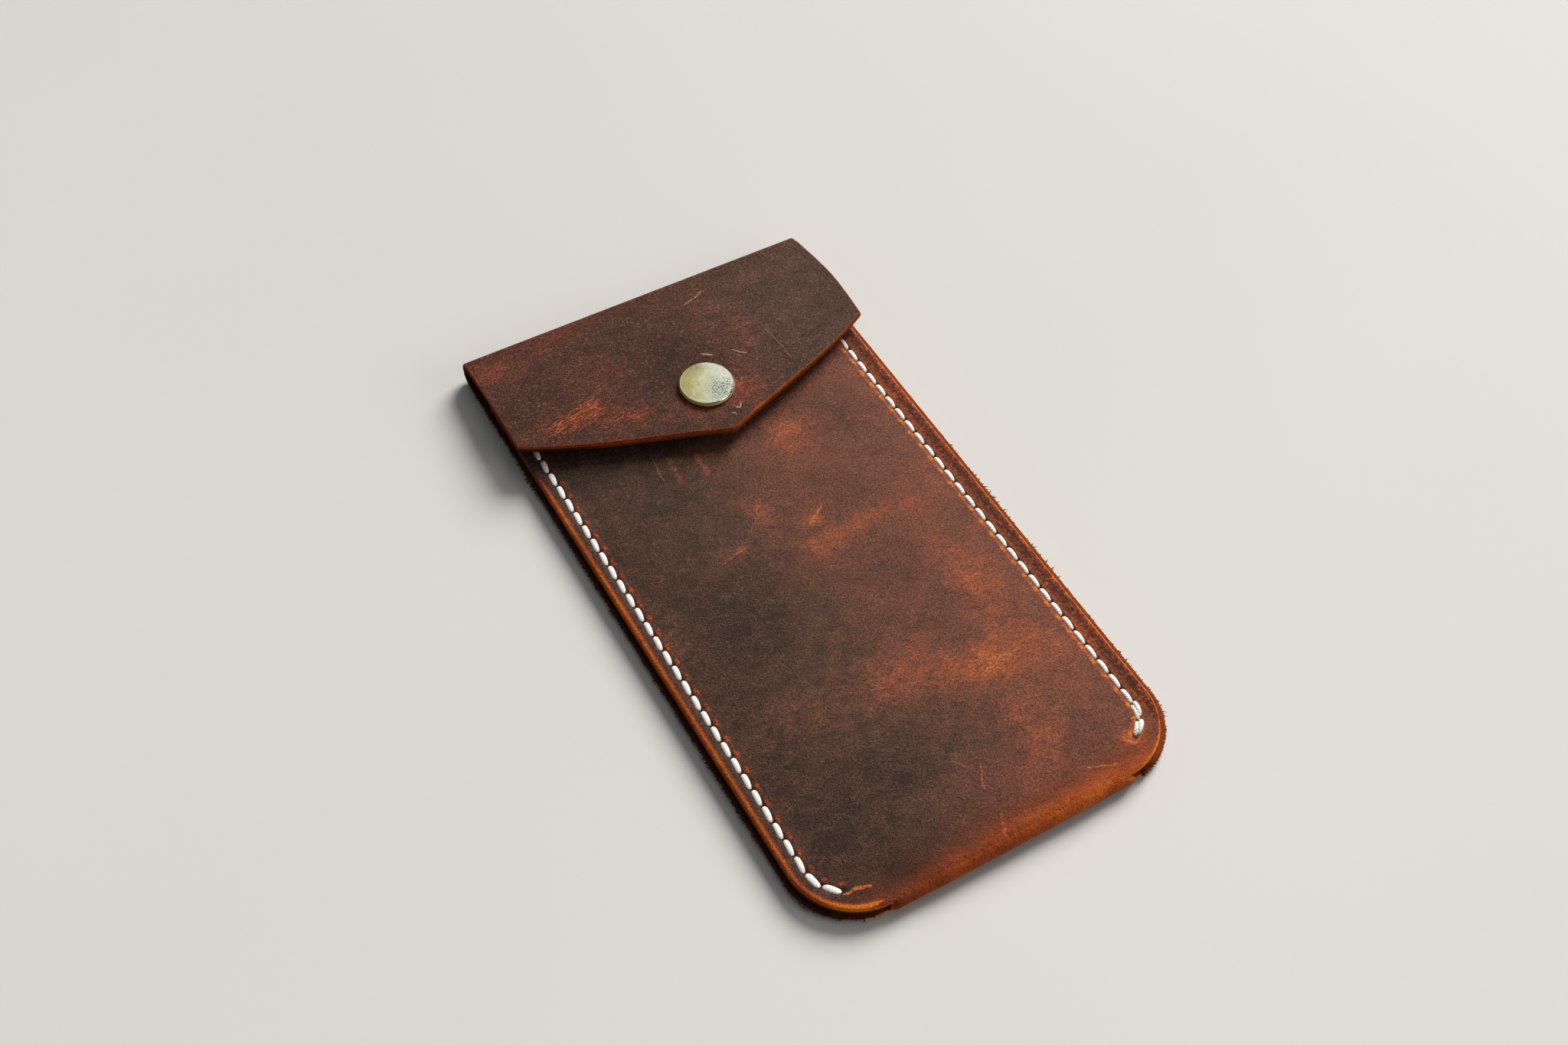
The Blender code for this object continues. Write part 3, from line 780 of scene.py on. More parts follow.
class Shader:
    """A short way to write a node tree."""

    def __init__(self, name):
        self.material = bpy.data.materials.new(name)
        self.material.use_nodes = True
        self.tree = self.material.node_tree

    def put(self, socket, value):
        if isinstance(value, Value):
            self.tree.links.new(value.socket, socket)
        else:
            socket.default_value = value

    def new(self, kind, inputs, **settings):
        made = self.tree.nodes.new("ShaderNode" + kind)
        for key, value in settings.items():
            setattr(made, key, value)
        for key, value in inputs.items():
            self.put(made.inputs[key], value)
        return made

    def node(self, kind, inputs, output=0, **settings):
        return Value(self, self.new(kind, inputs, **settings).outputs[output])

    def attribute(self, name, output="Vector"):
        return self.node("Attribute", {}, output, attribute_name=name)

    def factor(self, name):
        return self.attribute(name, "Fac")

    def parts(self, vector):
        return [Value(self, socket) for socket in self.new("SeparateXYZ", {0: vector}).outputs]

    def math(self, operation, first, second=0.0, clamp=False):
        return self.node("Math", {0: first, 1: second}, operation=operation, use_clamp=clamp)

    def largest(self, first, second):
        return self.math("MAXIMUM", first, second)

    def vector(self, operation, *operands, output=0):
        return self.node("VectorMath", dict(enumerate(operands)), output, operation=operation)

    def stretch(self, vector, scale):
        return self.vector("MULTIPLY", vector, scale)

    def turn(self, vector, degrees):
        return self.node("VectorRotate", {"Vector": vector, "Angle": math.radians(degrees)},
                         rotation_type="Z_AXIS")

    def noise(self, vector, scale, detail=2.0, roughness=0.5, distortion=0.0, output=0):
        inputs = {"Vector": vector, "Scale": scale, "Detail": detail, "Roughness": roughness,
                  "Distortion": distortion}
        return self.node("TexNoise", inputs, output)

    def net(self, vector, scale, density):
        """1 on the borders between the cells of a stretched net, 0 inside them."""
        border = self.node("TexVoronoi", {"Vector": self.stretch(vector, scale), "Scale": density},
                           feature="DISTANCE_TO_EDGE")
        return self.remap(border, 0.16, 0.02)

    def remap(self, value, low, high, new_low=0.0, new_high=1.0):
        return self.node("MapRange", {0: value, 1: low, 2: high, 3: new_low, 4: new_high},
                         interpolation_type="SMOOTHSTEP")

    def ramp(self, value, stops):
        made = self.new("ValToRGB", {0: value})
        elements = made.color_ramp.elements
        while len(elements) < len(stops):
            elements.new(0.5)
        for element, (position, color) in zip(elements, stops):
            element.position = position
            element.color = (*color, 1.0)
        return Value(self, made.outputs[0])

    def mix(self, share, first, second, blend="MIX"):
        first, second = [(*color, 1.0) if isinstance(color, tuple) else color
                         for color in (first, second)]
        return self.node("Mix", {0: share, 6: first, 7: second}, 2, data_type="RGBA",
                         blend_type=blend)

    def bump(self, height, distance, strength=1.0):
        return self.node("Bump", {"Height": height, "Distance": distance, "Strength": strength})

    def segment(self, place, start, end, width):
        """1 on the line from start to end, fading out over its half-width."""
        origin = Vector((*start, 0))
        run = Vector((*end, 0)) - origin
        offset = self.vector("SUBTRACT", self.stretch(place, FLATTEN), tuple(origin))
        reach = self.vector("DOT_PRODUCT", offset, tuple(run / run.length_squared), output="Value")
        reach = self.largest(self.math("MINIMUM", reach, 1.0), 0.0)
        nearest = self.node("VectorMath", {0: tuple(run), "Scale": reach}, operation="SCALE")
        away = self.vector("DISTANCE", offset, nearest, output="Value")
        return self.remap(away, width, width * 0.3)

    def nicks(self, place, degrees, density):
        """Sparse short strokes, all lying at one angle."""
        stretched = self.stretch(self.turn(place, degrees), (0.42, 1.9, 1.0))
        cell = self.new("TexVoronoi", {"Vector": stretched, "Scale": density}).outputs
        chosen = self.node("SeparateColor", {0: Value(self, cell["Color"])})
        stroke = self.remap(Value(self, cell["Distance"]), 0.30, 0.12)
        return stroke * self.remap(chosen, 0.45, 0.75)

    def finish(self, **sockets):
        surface = self.tree.nodes["Principled BSDF"]
        for name, value in sockets.items():
            self.put(surface.inputs[name.replace("_", " ")], value)
        return self.material


FLATTEN = (1.0, 1.0, 0.0)

# Colour ramps: (position, linear colour)
# Pulled-up leather; its green and blue are lifted a little to paint a pale sheen, which FLAP_TINT takes
# back off most of the flap
PULL_AND_SHEEN_TONES = [(0.0, (0.025, 0.011, 0.0065)), (0.25, (0.062, 0.0265, 0.015)),
              (0.5, (0.146, 0.045, 0.025)), (0.75, (0.270, 0.067, 0.023)),
              (1.0, (0.470, 0.122, 0.028))]
BURNT_TONES = [(0.0, (0.030, 0.008, 0.004)), (0.25, (0.085, 0.016, 0.003)),
               (0.5, (0.185, 0.030, 0.004)), (0.75, (0.365, 0.064, 0.004)),
               (1.0, (0.630, 0.150, 0.008))]
SUEDE_TONES = [(0.36, (0.066, 0.030, 0.016)), (0.50, (0.150, 0.074, 0.040)),
               (0.66, (0.27, 0.150, 0.085))]
LEDGE_TONES = [(0.35, (0.070, 0.015, 0.004)), (0.55, (0.250, 0.050, 0.006)),
               (0.72, (0.430, 0.105, 0.012))]
BURNISHED_TONES = [(0.30, (0.12, 0.024, 0.005)), (0.50, (0.30, 0.062, 0.008)),
                   (0.68, (0.50, 0.130, 0.014))]
FIBRE_TONES = [(0.30, (0.040, 0.009, 0.003)), (0.50, (0.170, 0.034, 0.005)),
               (0.70, (0.430, 0.100, 0.012))]
THREAD_TONES = [(0.15, (0.62, 0.56, 0.45)), (0.38, (0.86, 0.83, 0.76)), (0.6, (0.95, 0.94, 0.91))]
BRASS_TONES = [(0.05, (0.50, 0.42, 0.165)), (0.42, (0.67, 0.63, 0.39)), (0.75, (0.68, 0.70, 0.56))]
STEEL_TONES = [(0.3, (0.42, 0.42, 0.40)), (0.7, (0.62, 0.62, 0.60))]
FLOOR_TONES = [(0.3, (0.60, 0.585, 0.55)), (0.7, (0.64, 0.625, 0.59))]

# Pale flecks that paint glints on the grain, and the wax's pale net
BLOOM_AND_GLINT_COLOR = (0.36, 0.195, 0.126)
FLAP_TINT = (0.86, 0.65, 0.57)
# Painted shade for the thread holes and the seam's valley
HOLE_SHADE_COLOR = (0.040, 0.013, 0.005)
NICK_COLOR = (0.36, 0.205, 0.135)
SCUFF_COLOR = (0.62, 0.40, 0.22)
# Painted shade for the raw layers and ledge down the left side, which face away from the light
LEDGE_SHADOW_COLOR = (0.024, 0.008, 0.004)
EDGE_SHADOW_COLOR = (0.022, 0.007, 0.004)
RUBBED_BRASS = (0.86, 0.83, 0.68)
CAP_SIDE_COLOR = (0.72, 0.50, 0.20)
TARNISH_COLOR = (0.22, 0.18, 0.06)
PIT_COLOR = (0.10, 0.11, 0.09)

# Angle and density of the three sets of nicks
NICKS = ((34, 1.9), (-28, 2.2), (86, 1.6))


def on_flap(x, y, wide, tall, strength):
    """A patch given by its place on the closed flap."""
    return (x, FLAP_ORIGIN - (TOP_BEND_Y - y), wide, tall, strength)


def flap_line(start, end, width, strength):
    """A line given by its ends on the closed flap."""
    ends = [(x, FLAP_ORIGIN - (TOP_BEND_Y - y)) for x, y in (start, end)]
    return (*ends, width, strength)


# Pull-up patches: (x, strip length, half-width, half-length, strength)
PATCHES = [
    (12, 27, 6.5, 5.5, 0.25), (-10, 29, 6, 3, 0.10), (-5, 11, 3.2, 4.5, 0.30),
    (5, 5, 3.0, 2.0, 0.38), (-15, 3.5, 4.5, 1.4, 0.25), (4, -2, 7.5, 3.2, 0.20),
    (17, -1, 9, 2.5, 0.16), (25, -26, 5.0, 10.0, 0.26), (17, -43, 9, 5, 0.30),
    (-4, -38, 13, 7, 0.26), (16, -60, 4.5, 8, 0.26), (-33, -34, 5, 5, 0.16),
    (31, -72, 2.4, 1.8, 0.22), (-22, -36, 7, 6, 0.16), (30, -50, 5, 12, 0.12),
    (-35, -8, 2.5, 6, 0.18),
    on_flap(-28, 50, 7.0, 2.6, 0.34), on_flap(-17, 44, 5.5, 2.0, 0.26),
    on_flap(13, 66, 5, 4, 0.14), on_flap(18, 57, 9, 6, 0.14), on_flap(-16, 64, 10, 6, 0.12),
    on_flap(6, 40, 9, 6, 0.30), on_flap(-9, 40, 13, 4.5, 0.16), on_flap(-38.5, 72.5, 3, 2.2, 0.26),
    on_flap(-24, 75, 10, 2.4, 0.18), on_flap(-34, 71, 9, 4, 0.18), on_flap(30, 70, 12, 3, 0.12),
]
# Dark places, the same way: most where the wax is deepest, while (-33, 42) and (-12, 39) are painted
# shadow cast by the flap
DARK_WAX_AND_SHADOW_PATCHES = [
    (-10, 30, 9, 6, 0.10), (-6, -56, 13, 7, 0.16), (8, -12, 12, 5, 0.10), (26, 27, 7, 5, 0.10),
    (-20, -14, 8, 7, 0.12), (-28, -60, 10, 9, 0.09), (8, -73, 14, 4, 0.08), (-33, 42, 8, 7, 0.32),
    (-12, 39, 15, 5, 0.10), (33, -58, 4, 12, 0.05),
    on_flap(-6, 61, 8, 7, 0.10), on_flap(24, 66, 9, 5, 0.10), on_flap(31, 52, 7, 5, 0.06),
]
# Creased places, where the wax has cracked along fine lines
CREASED = [
    on_flap(-28, 50.3, 8.5, 3.8, 1.0), on_flap(-17, 44.5, 7, 2.6, 0.65),
    on_flap(-33, 47, 6, 2.5, 0.35), on_flap(8.5, 41, 4, 4, 0.35), on_flap(-20, 58, 12, 6, 0.22),
    on_flap(14, 60, 9, 6, 0.22), (-8, 32, 6, 3, 0.25), (12, 27, 5, 4, 0.15), (17, -43, 8, 4, 0.2),
]
# Scratches through the wax: (x, length) of both ends, half-width, strength
SCRATCHES = [
    ((3.0, 3.4), (7.5, 6.2), 0.32, 0.6), ((-18.5, 2.8), (-12.0, 4.4), 0.20, 0.45),
    ((2.2, -62.2), (-0.5, -67.3), 0.25, 0.5), ((-0.6, -73.4), (-2.6, -77.3), 0.55, 0.30),
    ((-34.6, -72.3), (-32.4, -72.5), 0.42, 1.1), ((-32.4, -72.5), (-29.8, -73.7), 0.50, 1.1),
    ((19.9, -73.1), (25.8, -75.0), 0.22, 0.5), ((30.2, -71.0), (31.4, -73.0), 0.60, 0.40),
    ((-9.0, 7.5), (-3.0, 14.0), 0.22, 0.35), ((-9.2, 31.8), (-9.3, 26.0), 0.95, 0.44),
    ((-14.9, 33.0), (-15.4, 26.5), 1.05, 0.46),
    flap_line((9.0, 69.4), (14.6, 71.6), 0.24, 1.0), flap_line((4.1, 53.6), (6.4, 52.2), 0.26, 1.0),
    flap_line((22.4, 53.0), (22.6, 45.0), 0.12, 0.35), flap_line((3.4, 36.0), (5.0, 37.0), 0.22, 0.6),
]
# Pale scuffs, most of them round the snap
SCUFFS = [
    flap_line((9.2, 69.5), (14.0, 71.4), 0.14, 0.30),
    flap_line((20.9, 53.6), (21.6, 43.0), 0.10, 0.30), ((-17.6, 35.2), (-18.8, 28.3), 0.11, 0.30),
    flap_line((4.3, 53.5), (6.2, 52.3), 0.20, 0.55), flap_line((11.9, 50.0), (13.2, 49.1), 0.17, 0.8),
    flap_line((11.0, 51.3), (12.0, 50.2), 0.15, 0.6), flap_line((3.6, 36.2), (4.3, 35.6), 0.16, 0.9),
    flap_line((4.3, 35.6), (4.8, 36.6), 0.16, 0.9), flap_line((2.2, 35.3), (2.5, 34.5), 0.15, 0.7),
    flap_line((8.6, 42.6), (9.2, 43.2), 0.15, 0.5),
]


def make_grain():
    """Waxed pull-up leather: dark where it is full of wax, orange where bent, with painted shadow,
    highlights, glints and sheen.
    """
    s = Shader("leather_grain")
    strip = s.attribute("strip")
    side, length, _ = s.parts(strip)
    along, outward, on = s.parts(s.attribute("seam"))
    edge, bead, ground, pull = [s.factor(name) for name in ("edge", "bead", "ground", "pull")]
    burnish, crease = s.factor("burnish"), s.factor("crease")
    flap = s.remap(length, FLAP_ORIGIN + 8, FLAP_ORIGIN)
    right = s.remap(side, -1.0, 1.0)
    flange = s.remap(side, SEAM_X[1] + 0.6, SEAM_X[1] + 1.6)

    drift = s.vector("SUBTRACT", s.noise(strip, 0.30, 3.0, output="Color"), (0.5, 0.5, 0.5))
    wander = s.vector("MULTIPLY_ADD", drift, (4.5, 4.5, 0.0), strip)
    waver = s.vector("MULTIPLY_ADD", drift, (1.6, 1.6, 0.0), strip)
    cloud = s.noise(wander, 0.055, 4.0, 0.55)
    blotch = s.noise(wander, 0.26, 5.0, 0.62, 0.3)
    wisp = s.noise(s.stretch(wander, (0.34, 0.75, 0.3)), 1.0, 6.0, 0.70, 0.5)
    crisp = s.noise(strip, 1.25, 4.0, 0.70)
    grain = s.noise(strip, 1.9, 5.0, 0.85)
    fleck = s.noise(s.stretch(waver, (1.0, 1.7, 1.0)), 2.6, 3.0, 0.8)
    streak = s.noise(s.stretch(waver, (2.6, 0.62, 1.0)), 0.8, 5.0, 0.72)
    creases = s.noise(s.stretch(wander, (0.6, 1.3, 1.0)), 1.1, 5.0, 0.7, 0.6)
    crack = s.net(s.turn(waver, -12), (0.23, 1.75, 1.0), 1.0)
    network = s.net(waver, (1.0, 1.25, 1.0), 1.7)

    # Tone: 0 where the wax is deepest, 1 where the leather is pulled bright
    spread = wisp + blotch * 0.6
    lifted = pull * s.remap(spread, 0.55, 1.05, 0.40, 1.45)
    rubbed = flange * burnish
    mottling = 0.16 + burnish * 0.50 + rubbed * 1.95
    tone = ground + lifted + (cloud - 0.5) * 0.50 + (spread - 0.8) * 0.42
    tone = tone + (crisp - 0.5) * mottling + (streak - 0.5) * rubbed * 2.2
    tone = tone + crack * crease * 0.85 - crease * 0.10
    for start, end, width, strength in SCRATCHES:
        broken = s.remap(crisp, 0.35, 0.6, 0.3 * strength, strength)
        tone = tone + s.segment(waver, start, end, width) * broken

    # Fuzz pushed up beside the holes: lumps inside the left seam, a cord inside the right
    fraction = abs(along - s.math("ROUND", along))
    lump = s.largest(s.remap(fraction, 0.34, 0.06, 0.30, 1.0), right * 0.42)
    inset = s.remap(right, 0, 1, 1.25, 1.05)
    inner = s.remap(abs(outward + (crisp - 0.5) * 0.9 + inset), 0.74, 0.20)
    outer = s.remap(abs(outward - 0.92), 0.36, 0.08)
    fringe = inner * (lump * s.remap(right, 0, 1, 1.05, 1.10))
    fringe = fringe + outer * s.remap(right, 0, 1, 0.14, 0.55)
    fringe = fringe * on * s.remap(crisp, 0.36, 0.57, 0.28, 1.15)
    # The burnished bead along the cut edges
    worn = s.remap((edge + (crisp - 0.5) * 0.7) / bead, 1.2, 0.55)
    tone = tone + worn * s.remap(bead, 0.3, 1.3, 0.42, 0.72)
    tone = s.math("ADD", tone, fringe * 0.55, clamp=True)
    burnt = s.largest(s.largest(burnish, worn), fringe)
    burnt = s.math("ADD", burnt, lifted * 0.30, clamp=True)
    color = s.mix(burnt, s.ramp(tone, PULL_AND_SHEEN_TONES), s.ramp(tone, BURNT_TONES))

    # The grain, finer on the polished bottom fold; pale flecks that paint glints on the grain, and the
    # wax's pale blooming along a fine net
    polished = s.remap(burnish - (flange + flap), 0.15, 0.7, 1.0, 0.5)
    contrast = s.remap(burnt, 0.3, 1.0, 0.62, 0.32) * s.remap(flap, 0, 1, 1.12, 1.62) * polished
    shade = 1.03 + s.remap(grain, 0.35, 0.65, -1.0, 1.0) * contrast
    color = s.mix(1.0, color, s.node("CombineColor", {0: shade, 1: shade, 2: shade}), "MULTIPLY")
    bloom_and_glint = s.largest(s.remap(fleck, 0.56, 0.70), network * 0.38)
    bloom_and_glint = bloom_and_glint * s.remap(burnt, 0.0, 0.6, 0.38, 0.03) * s.remap(blotch, 0.34, 0.60, 0.35, 1.25)
    color = s.mix(bloom_and_glint, color, BLOOM_AND_GLINT_COLOR)
    color = s.mix(flap * s.remap(side, 30.0, 0.0), color, FLAP_TINT, "MULTIPLY")

    # Painted shade in the thread holes and along the bottom of the valley
    hole = s.remap(fraction, 0.14, 0.06) * s.remap(abs(outward), 0.70, 0.35)
    valley = s.remap(abs(outward), 0.80, 0.40) * 0.5
    color = s.mix(s.largest(hole, valley) * on, color, HOLE_SHADE_COLOR)

    # Short pale nicks that lie all ways across the wax, and the single scuffs
    for degrees, density in NICKS:
        nick = s.nicks(waver, degrees, density) * s.remap(burnt, 0.2, 0.8, 0.34, 0.08)
        nick = nick * s.remap(flap, 0, 1, 0.55, 1.5) * s.remap(blotch, 0.34, 0.62, 0.45, 1.1)
        color = s.mix(nick, color, NICK_COLOR)
    for start, end, width, strength in SCUFFS:
        color = s.mix(s.segment(waver, start, end, width) * strength, color, SCUFF_COLOR)

    height = grain * 0.8 + creases * 0.7 - crack * crease * 0.5 - network * 0.28
    return s.finish(Base_Color=color, Roughness=s.remap(blotch, 0.3, 0.7, 0.54, 0.70),
                    Normal=s.bump(height, 0.00020), Specular_IOR_Level=0.13)


def left_edge_shade(s, strip):
    """1 along the left edge, where shade is painted over the raw layers, 0 elsewhere."""
    return s.remap(s.parts(strip)[0], -22.0, -34.0)


def make_flesh():
    """The leather's suede-like inside."""
    s = Shader("leather_flesh")
    strip = s.attribute("strip")
    nap = s.noise(strip, 2.2, 5.0, 0.75)
    tufts = s.noise(s.stretch(strip, (1.0, 0.62, 1.0)), 0.75, 6.0, 0.80, 0.9)
    suede = nap * 0.35 + tufts * 0.45
    color = s.ramp(suede + s.noise(strip, 0.12, 3.0) * 0.20, SUEDE_TONES)
    ledge = s.remap(s.factor("edge") + nap * 0.8, 2.5, 1.1)
    color = s.mix(ledge, color, s.ramp(nap, LEDGE_TONES))
    # Painted shade over the ledge down the left side
    color = s.mix(left_edge_shade(s, strip) * ledge * 0.85, color, LEDGE_SHADOW_COLOR)
    return s.finish(Base_Color=color, Roughness=0.92, Normal=s.bump(suede, 0.00045, 0.9),
                    Specular_IOR_Level=0.1)


def make_edge():
    """Cut edges: burnt orange along the grain side, dark and fibrous below it, partly the raw cut and
    partly painted shade, with more painted shade down the left side.
    """
    s = Shader("leather_edge")
    strip = s.attribute("strip")
    depth = s.parts(strip)[2]
    left = left_edge_shade(s, strip)
    mottle = s.noise(s.stretch(strip, (0.8, 0.8, 1.6)), 1.1, 5.0, 0.7)
    fibre = s.noise(s.stretch(strip, (2.0, 2.0, 5.0)), 1.5, 4.0, 0.75)
    # Painted shade down the left side, which faces away from the light, darkens the fibrous colour
    dull = s.mix(left * 0.85, s.ramp(fibre, FIBRE_TONES), EDGE_SHADOW_COLOR)
    # Lower down, the wall takes the dark fibrous colour: partly the raw cut, partly painted shade under
    # the burnished edge; the left side adds more painted shade
    ragged = depth + (mottle - 0.5) * 1.2 + left * 0.30
    share = s.largest(s.factor("raw"), s.remap(ragged, 0.15, 0.80))
    color = s.mix(share, s.ramp(mottle, BURNISHED_TONES), dull)
    return s.finish(Base_Color=color, Roughness=0.8, Normal=s.bump(fibre, 0.00022, 0.8),
                    Specular_IOR_Level=0.06)


def make_thread():
    """Off-white waxed thread, twisted from two strands."""
    s = Shader("waxed_thread")
    strand = s.attribute("strand")
    travel, around, _ = s.parts(strand)
    ply = s.math("SINE", (travel * 0.85 + around) * (math.tau * 2))
    fuzz = s.noise(s.stretch(strand, (2.0, 6.0, 3.1)), 2.0, 4.0, 0.7)
    color = s.ramp(fuzz * 0.7 + ply * 0.06, THREAD_TONES)
    return s.finish(Base_Color=color, Roughness=0.55, Sheen_Weight=0.2, Subsurface_Weight=0.06,
                    Normal=s.bump(ply * 0.35 + fuzz * 0.6, 0.00006, 0.8))


def make_brass():
    """Pale brass: the cap is tarnished to one side and pitted at the lower right."""
    s = Shader("pale_brass")
    place = s.node("TexCoord", {}, "Object")
    local = s.vector("SUBTRACT", place, (SNAP_X * MM, SNAP_Y * MM, 0.0))
    haze = s.noise(place, 420.0, 5.0, 0.65)
    pits = s.noise(place, 3200.0, 2.0, 0.6)
    smear = s.noise(s.stretch(place, (1.0, 0.35, 1.0)), 1500.0, 5.0, 0.7, 0.6)
    scratch = s.noise(s.stretch(place, (1.0, 0.08, 1.0)), 9000.0, 3.0, 0.7)

    def near(x, y, reach):
        """1 at a place on the cap, 0 from `reach` millimetres away."""
        spot = (x * MM, y * MM, 0.0)
        away = s.vector("DISTANCE", s.stretch(local, FLATTEN), spot, output="Value")
        return s.remap(away, reach * MM, 0.0)

    across = s.vector("DOT_PRODUCT", local, (0.86, -0.50, 0.0), output="Value")
    color = s.ramp(across * 95.0 + haze, BRASS_TONES)
    level = s.parts(place)[2]
    rim = s.remap(level, (CAP_TOP - 0.085) * MM, (CAP_TOP - 0.12) * MM)
    color = s.mix(rim, color, RUBBED_BRASS)
    below = s.remap(level, (CAP_TOP - 0.29) * MM, (CAP_TOP - 0.38) * MM)
    color = s.mix(below, color, CAP_SIDE_COLOR)
    tarnish = near(-0.4, 5.0, 3.2) * s.remap(haze, 0.40, 0.60, 0.2, 0.8)
    color = s.mix(tarnish, color, TARNISH_COLOR)
    pitted = near(2.2, -3.2, 5.0) * s.remap(pits, 0.49, 0.58)
    color = s.mix(s.math("MULTIPLY", pitted, 1.5, clamp=True), color, PIT_COLOR)
    rough = s.remap(smear * 0.6 + scratch * 0.4, 0.35, 0.65, 0.13, 0.23) + below * 0.28
    return s.finish(Base_Color=color, Metallic=s.remap(below, 0.0, 1.0, 1.0, 0.35), Roughness=rough,
                    Normal=s.bump(smear * 0.5 + scratch * 0.5, 0.000012, 0.6))


def make_steel():
    s = Shader("spring_steel")
    draw = s.noise(s.node("TexCoord", {}, "Object"), 6000.0, 3.0, 0.6)
    return s.finish(Base_Color=s.ramp(draw, STEEL_TONES), Metallic=1.0,
                    Roughness=s.remap(draw, 0.3, 0.7, 0.2, 0.4))


def paint(obj):
    """Where the leather has been bent or rubbed, where its wax is deepest, and where the flap's shadow
    and a highlight on the bottom fold are painted.
    """
    data = obj.data
    count = len(data.vertices)
    strip = np.zeros(count * 3, np.float32)
    data.attributes["strip"].data.foreach_get("vector", strip)
    strip = strip.reshape(-1, 3)
    flat = strip * (1, 1, 0)
    x = strip[:, 0] + 2.6 * wobble(flat, 0.11, 1) + 1.2 * wobble(flat, 0.35, 2)
    length = strip[:, 1] + 2.2 * wobble(flat, 0.11, 4) + 1.0 * wobble(flat, 0.35, 5)

    def patches(rows):
        total = np.zeros(count)
        for px, pl, wide, tall, strength in rows:
            total += strength * np.exp(-np.square((x - px) / wide) - np.square((length - pl) / tall))
        return total

    on_front = (strip[:, 1] > FOLD_MIDDLE).astype(float)
    panel_ground = 0.13 + 0.30 * smooth(-24, 8, x) + 0.06 * smooth(8, 34, x)
    other_ground = np.where(strip[:, 1] < FLAP_ORIGIN + 2, 0.17, 0.30)
    ground = np.where(on_front > 0, panel_ground, other_ground)
    # Lower the ground where the wax is deepest, and paint the flap's shadow on the pocket
    ground -= patches(DARK_WAX_AND_SHADOW_PATCHES)
    flange = smooth(SEAM_X[1] + 1.1, SEAM_X[1] + 1.7, strip[:, 0]) * on_front
    dark_band = flange * bell(strip[:, 0] - (FRONT_RIGHT - 1.75), 0.85)
    left_flange = smooth(SEAM_X[-1] - 0.5, SEAM_X[-1] - 1.2, strip[:, 0]) * on_front
    ground += 0.08 * flange - 0.34 * dark_band - 0.08 * left_flange
    from_fold = strip[:, 1] - FOLD_MIDDLE
    bottom = bell(from_fold, 4.6)
    top = bell(strip[:, 1] - (FLAP_ORIGIN + math.pi * TOP_BEND / 2), 4.5)
    # This line and the next two paint a highlight along the top of the bottom fold, brighter towards the
    # left
    crest_highlight = bell(from_fold - 2.2, 2.6)
    ground += 0.12 * bottom + 0.08 * crest_highlight + 0.06 * bell(from_fold, 9.0) + 0.08 * top
    ground += (0.08 + 0.20 * bell(strip[:, 0] + 20, 10.0)) * bell(from_fold - 0.2, 2.6)
    burnish = 0.85 * flange + 0.74 * bell(from_fold, 5.5) + 0.55 * top + 0.25 * bell(from_fold, 11.0)
    values = {"pull": patches(PATCHES), "ground": ground,
              "crease": np.clip(patches(CREASED), 0, 1),
              "burnish": np.clip(burnish, 0, 1)}
    for name, numbers in values.items():
        data.attributes.new(name, "FLOAT", "POINT").data.foreach_set("value", numbers.astype(np.float32))


# ---- Stage -------------------------------------------------------------------
CAMERA_LENS = 41.83
CAMERA_AZIMUTH = math.radians(-32.895)
CAMERA_ELEVATION = math.radians(52.641)
CAMERA_ROLL = math.radians(3.295)
CAMERA_DISTANCE = 0.38976
CAMERA_TARGET = Vector((0.00017, 0.00918, 0.0))


def add_camera():
    camera = bpy.data.objects.new("camera", bpy.data.cameras.new("camera"))
    camera.data.lens = CAMERA_LENS
    camera.data.sensor_width = 36.0
    camera.data.clip_start = 0.01
    away = Vector((math.sin(CAMERA_AZIMUTH) * math.cos(CAMERA_ELEVATION),
                   -math.cos(CAMERA_AZIMUTH) * math.cos(CAMERA_ELEVATION),
                   math.sin(CAMERA_ELEVATION)))
    right = Vector((math.cos(CAMERA_AZIMUTH), math.sin(CAMERA_AZIMUTH), 0))
    up = away.cross(right)
    turned = right * math.cos(CAMERA_ROLL) + up * math.sin(CAMERA_ROLL)
    raised = up * math.cos(CAMERA_ROLL) - right * math.sin(CAMERA_ROLL)
    turn = Matrix((turned, raised, away)).transposed().to_4x4()
    camera.matrix_world = Matrix.Translation(CAMERA_TARGET + away * CAMERA_DISTANCE) @ turn
    bpy.context.collection.objects.link(camera)
    bpy.context.scene.camera = camera


def add_light(name, location, strength, color, spread):
    """A distant soft light, `spread` degrees wide, seen in the direction of `location`."""
    light = bpy.data.lights.new(name, "SUN")
    light.energy = strength
    light.color = color
    light.angle = math.radians(spread)
    lamp = bpy.data.objects.new(name, light)
    lamp.location = location
    lamp.rotation_euler = (-Vector(location)).to_track_quat("-Z", "Y").to_euler()
    bpy.context.collection.objects.link(lamp)


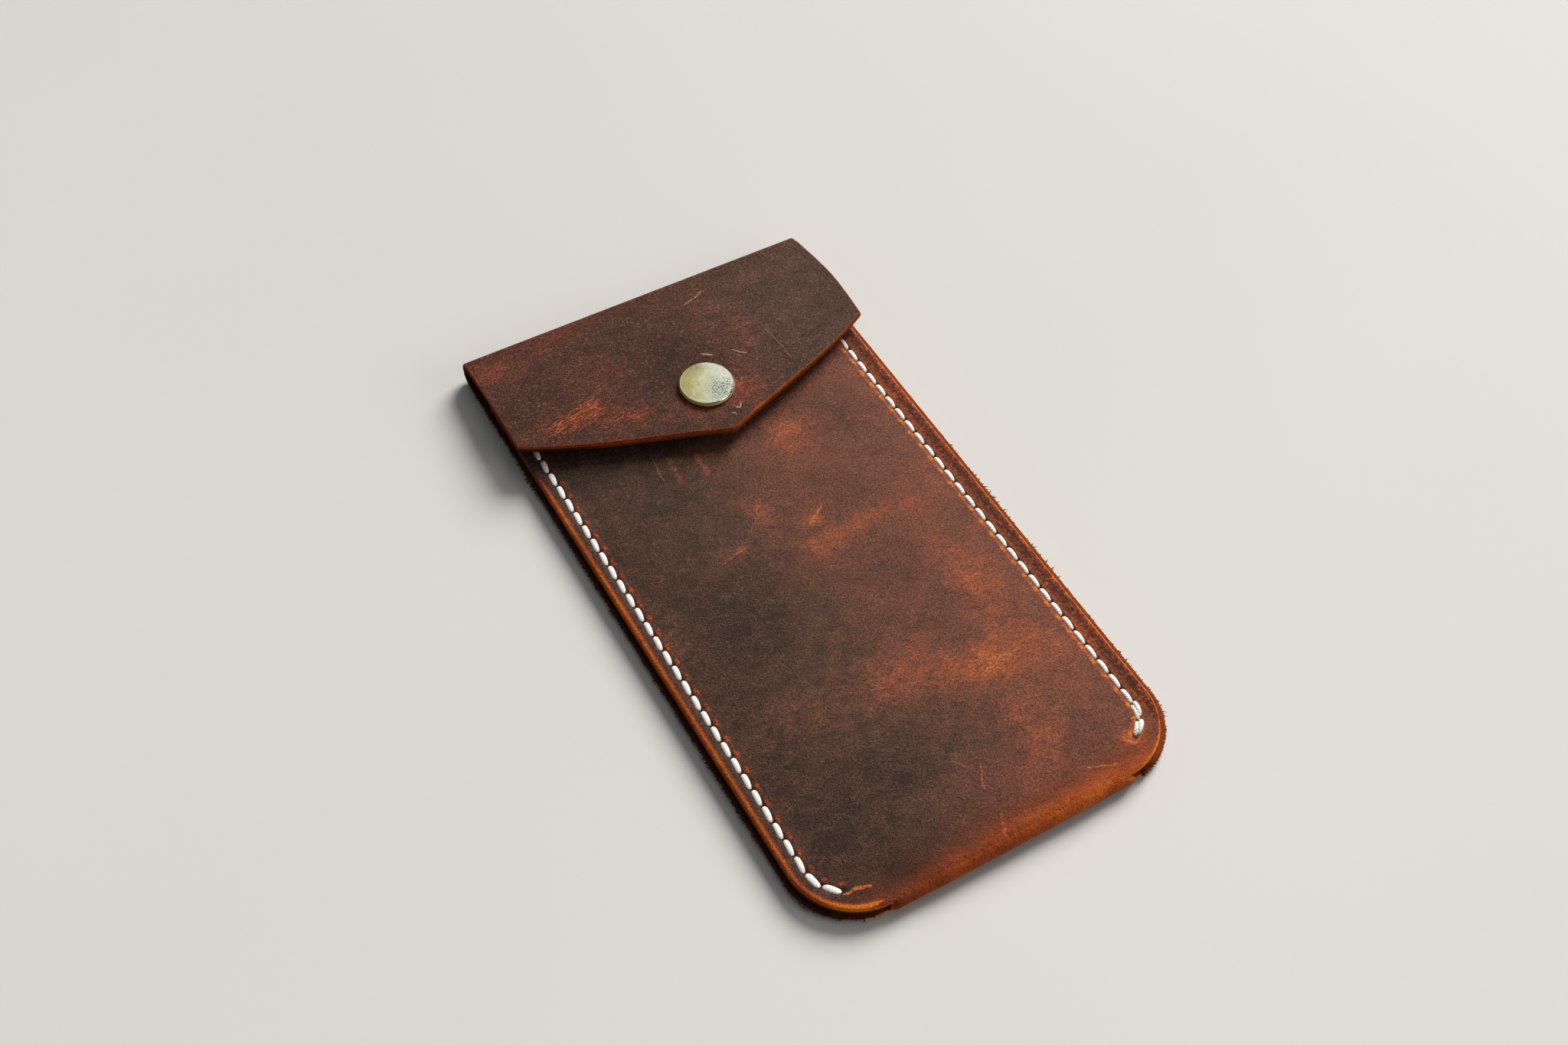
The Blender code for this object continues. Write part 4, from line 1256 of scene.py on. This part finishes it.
def add_stage():
    s = Shader("pale_floor")
    cloud = s.noise(s.node("TexCoord", {}, "Object"), 3.0, 3.0)
    s.finish(Base_Color=s.ramp(cloud, FLOOR_TONES), Roughness=0.7)
    mesh = bpy.data.meshes.new("floor")
    half = 3.0
    level = -0.00015
    mesh.from_pydata([(-half, -half, level), (half, -half, level), (half, half, level),
                      (-half, half, level)], [], [(0, 1, 2, 3)])
    mesh.materials.append(s.material)
    floor = bpy.data.objects.new("floor", mesh)
    bpy.context.collection.objects.link(floor)

    world = bpy.data.worlds.new("studio")
    world.use_nodes = True
    nodes, links = world.node_tree.nodes, world.node_tree.links
    fill = nodes["Background"]
    fill.inputs[0].default_value = (0.86, 0.92, 1.0, 1.0)
    fill.inputs[1].default_value = 0.09
    backdrop = nodes.new("ShaderNodeBackground")
    backdrop.inputs[0].default_value = (0.66, 0.65, 0.63, 1.0)
    seen = nodes.new("ShaderNodeLightPath")
    mix = nodes.new("ShaderNodeMixShader")
    links.new(seen.outputs["Is Camera Ray"], mix.inputs[0])
    links.new(fill.outputs[0], mix.inputs[1])
    links.new(backdrop.outputs[0], mix.inputs[2])
    links.new(mix.outputs[0], nodes["World Output"].inputs[0])
    bpy.context.scene.world = world
    add_light("window", (0.70, 0.42, 0.54), 4.48, (1.0, 0.98, 0.95), 32)
    add_light("softbox", (0.28, 0.42, 0.90), 0.52, (0.97, 0.985, 1.0), 60)
    add_light("rim", (0.55, -0.58, 0.30), 0.90, (1.0, 0.98, 0.95), 40)
    bpy.context.scene.view_settings.view_transform = "Standard"


def build():
    grain, flesh, edge = make_grain(), make_flesh(), make_edge()
    pocket = build_pocket([grain, flesh, edge])
    flap = build_flap([grain, flesh, edge])
    for piece in (pocket, flap):
        paint(piece)
    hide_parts("back_panel", "bottom_fold", "front_panel", "top_fold_lower_bend")
    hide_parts("top_fold_band", "top_fold_upper_bend", "flap")
    middle_y = TOP_Y - HALF
    TOP_BEND_Y * MM
    middle_y * MM
    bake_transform(pocket)
    middle_y * MM
    TOP_BEND_Y * MM
    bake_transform(flap)
    fibres = build_fibres(edge)
    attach(fibres, "pocket")
    thread = make_thread()
    for side, lean, node in ((-1, 0.26, "left_seam_thread"), (1, -0.10, "right_seam_thread")):
        piece = build_thread(side, lean, thread)
        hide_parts(node)
        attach(piece, "pocket")
    build_snap(make_brass(), make_steel())
    add_stage()
    add_camera()


build()
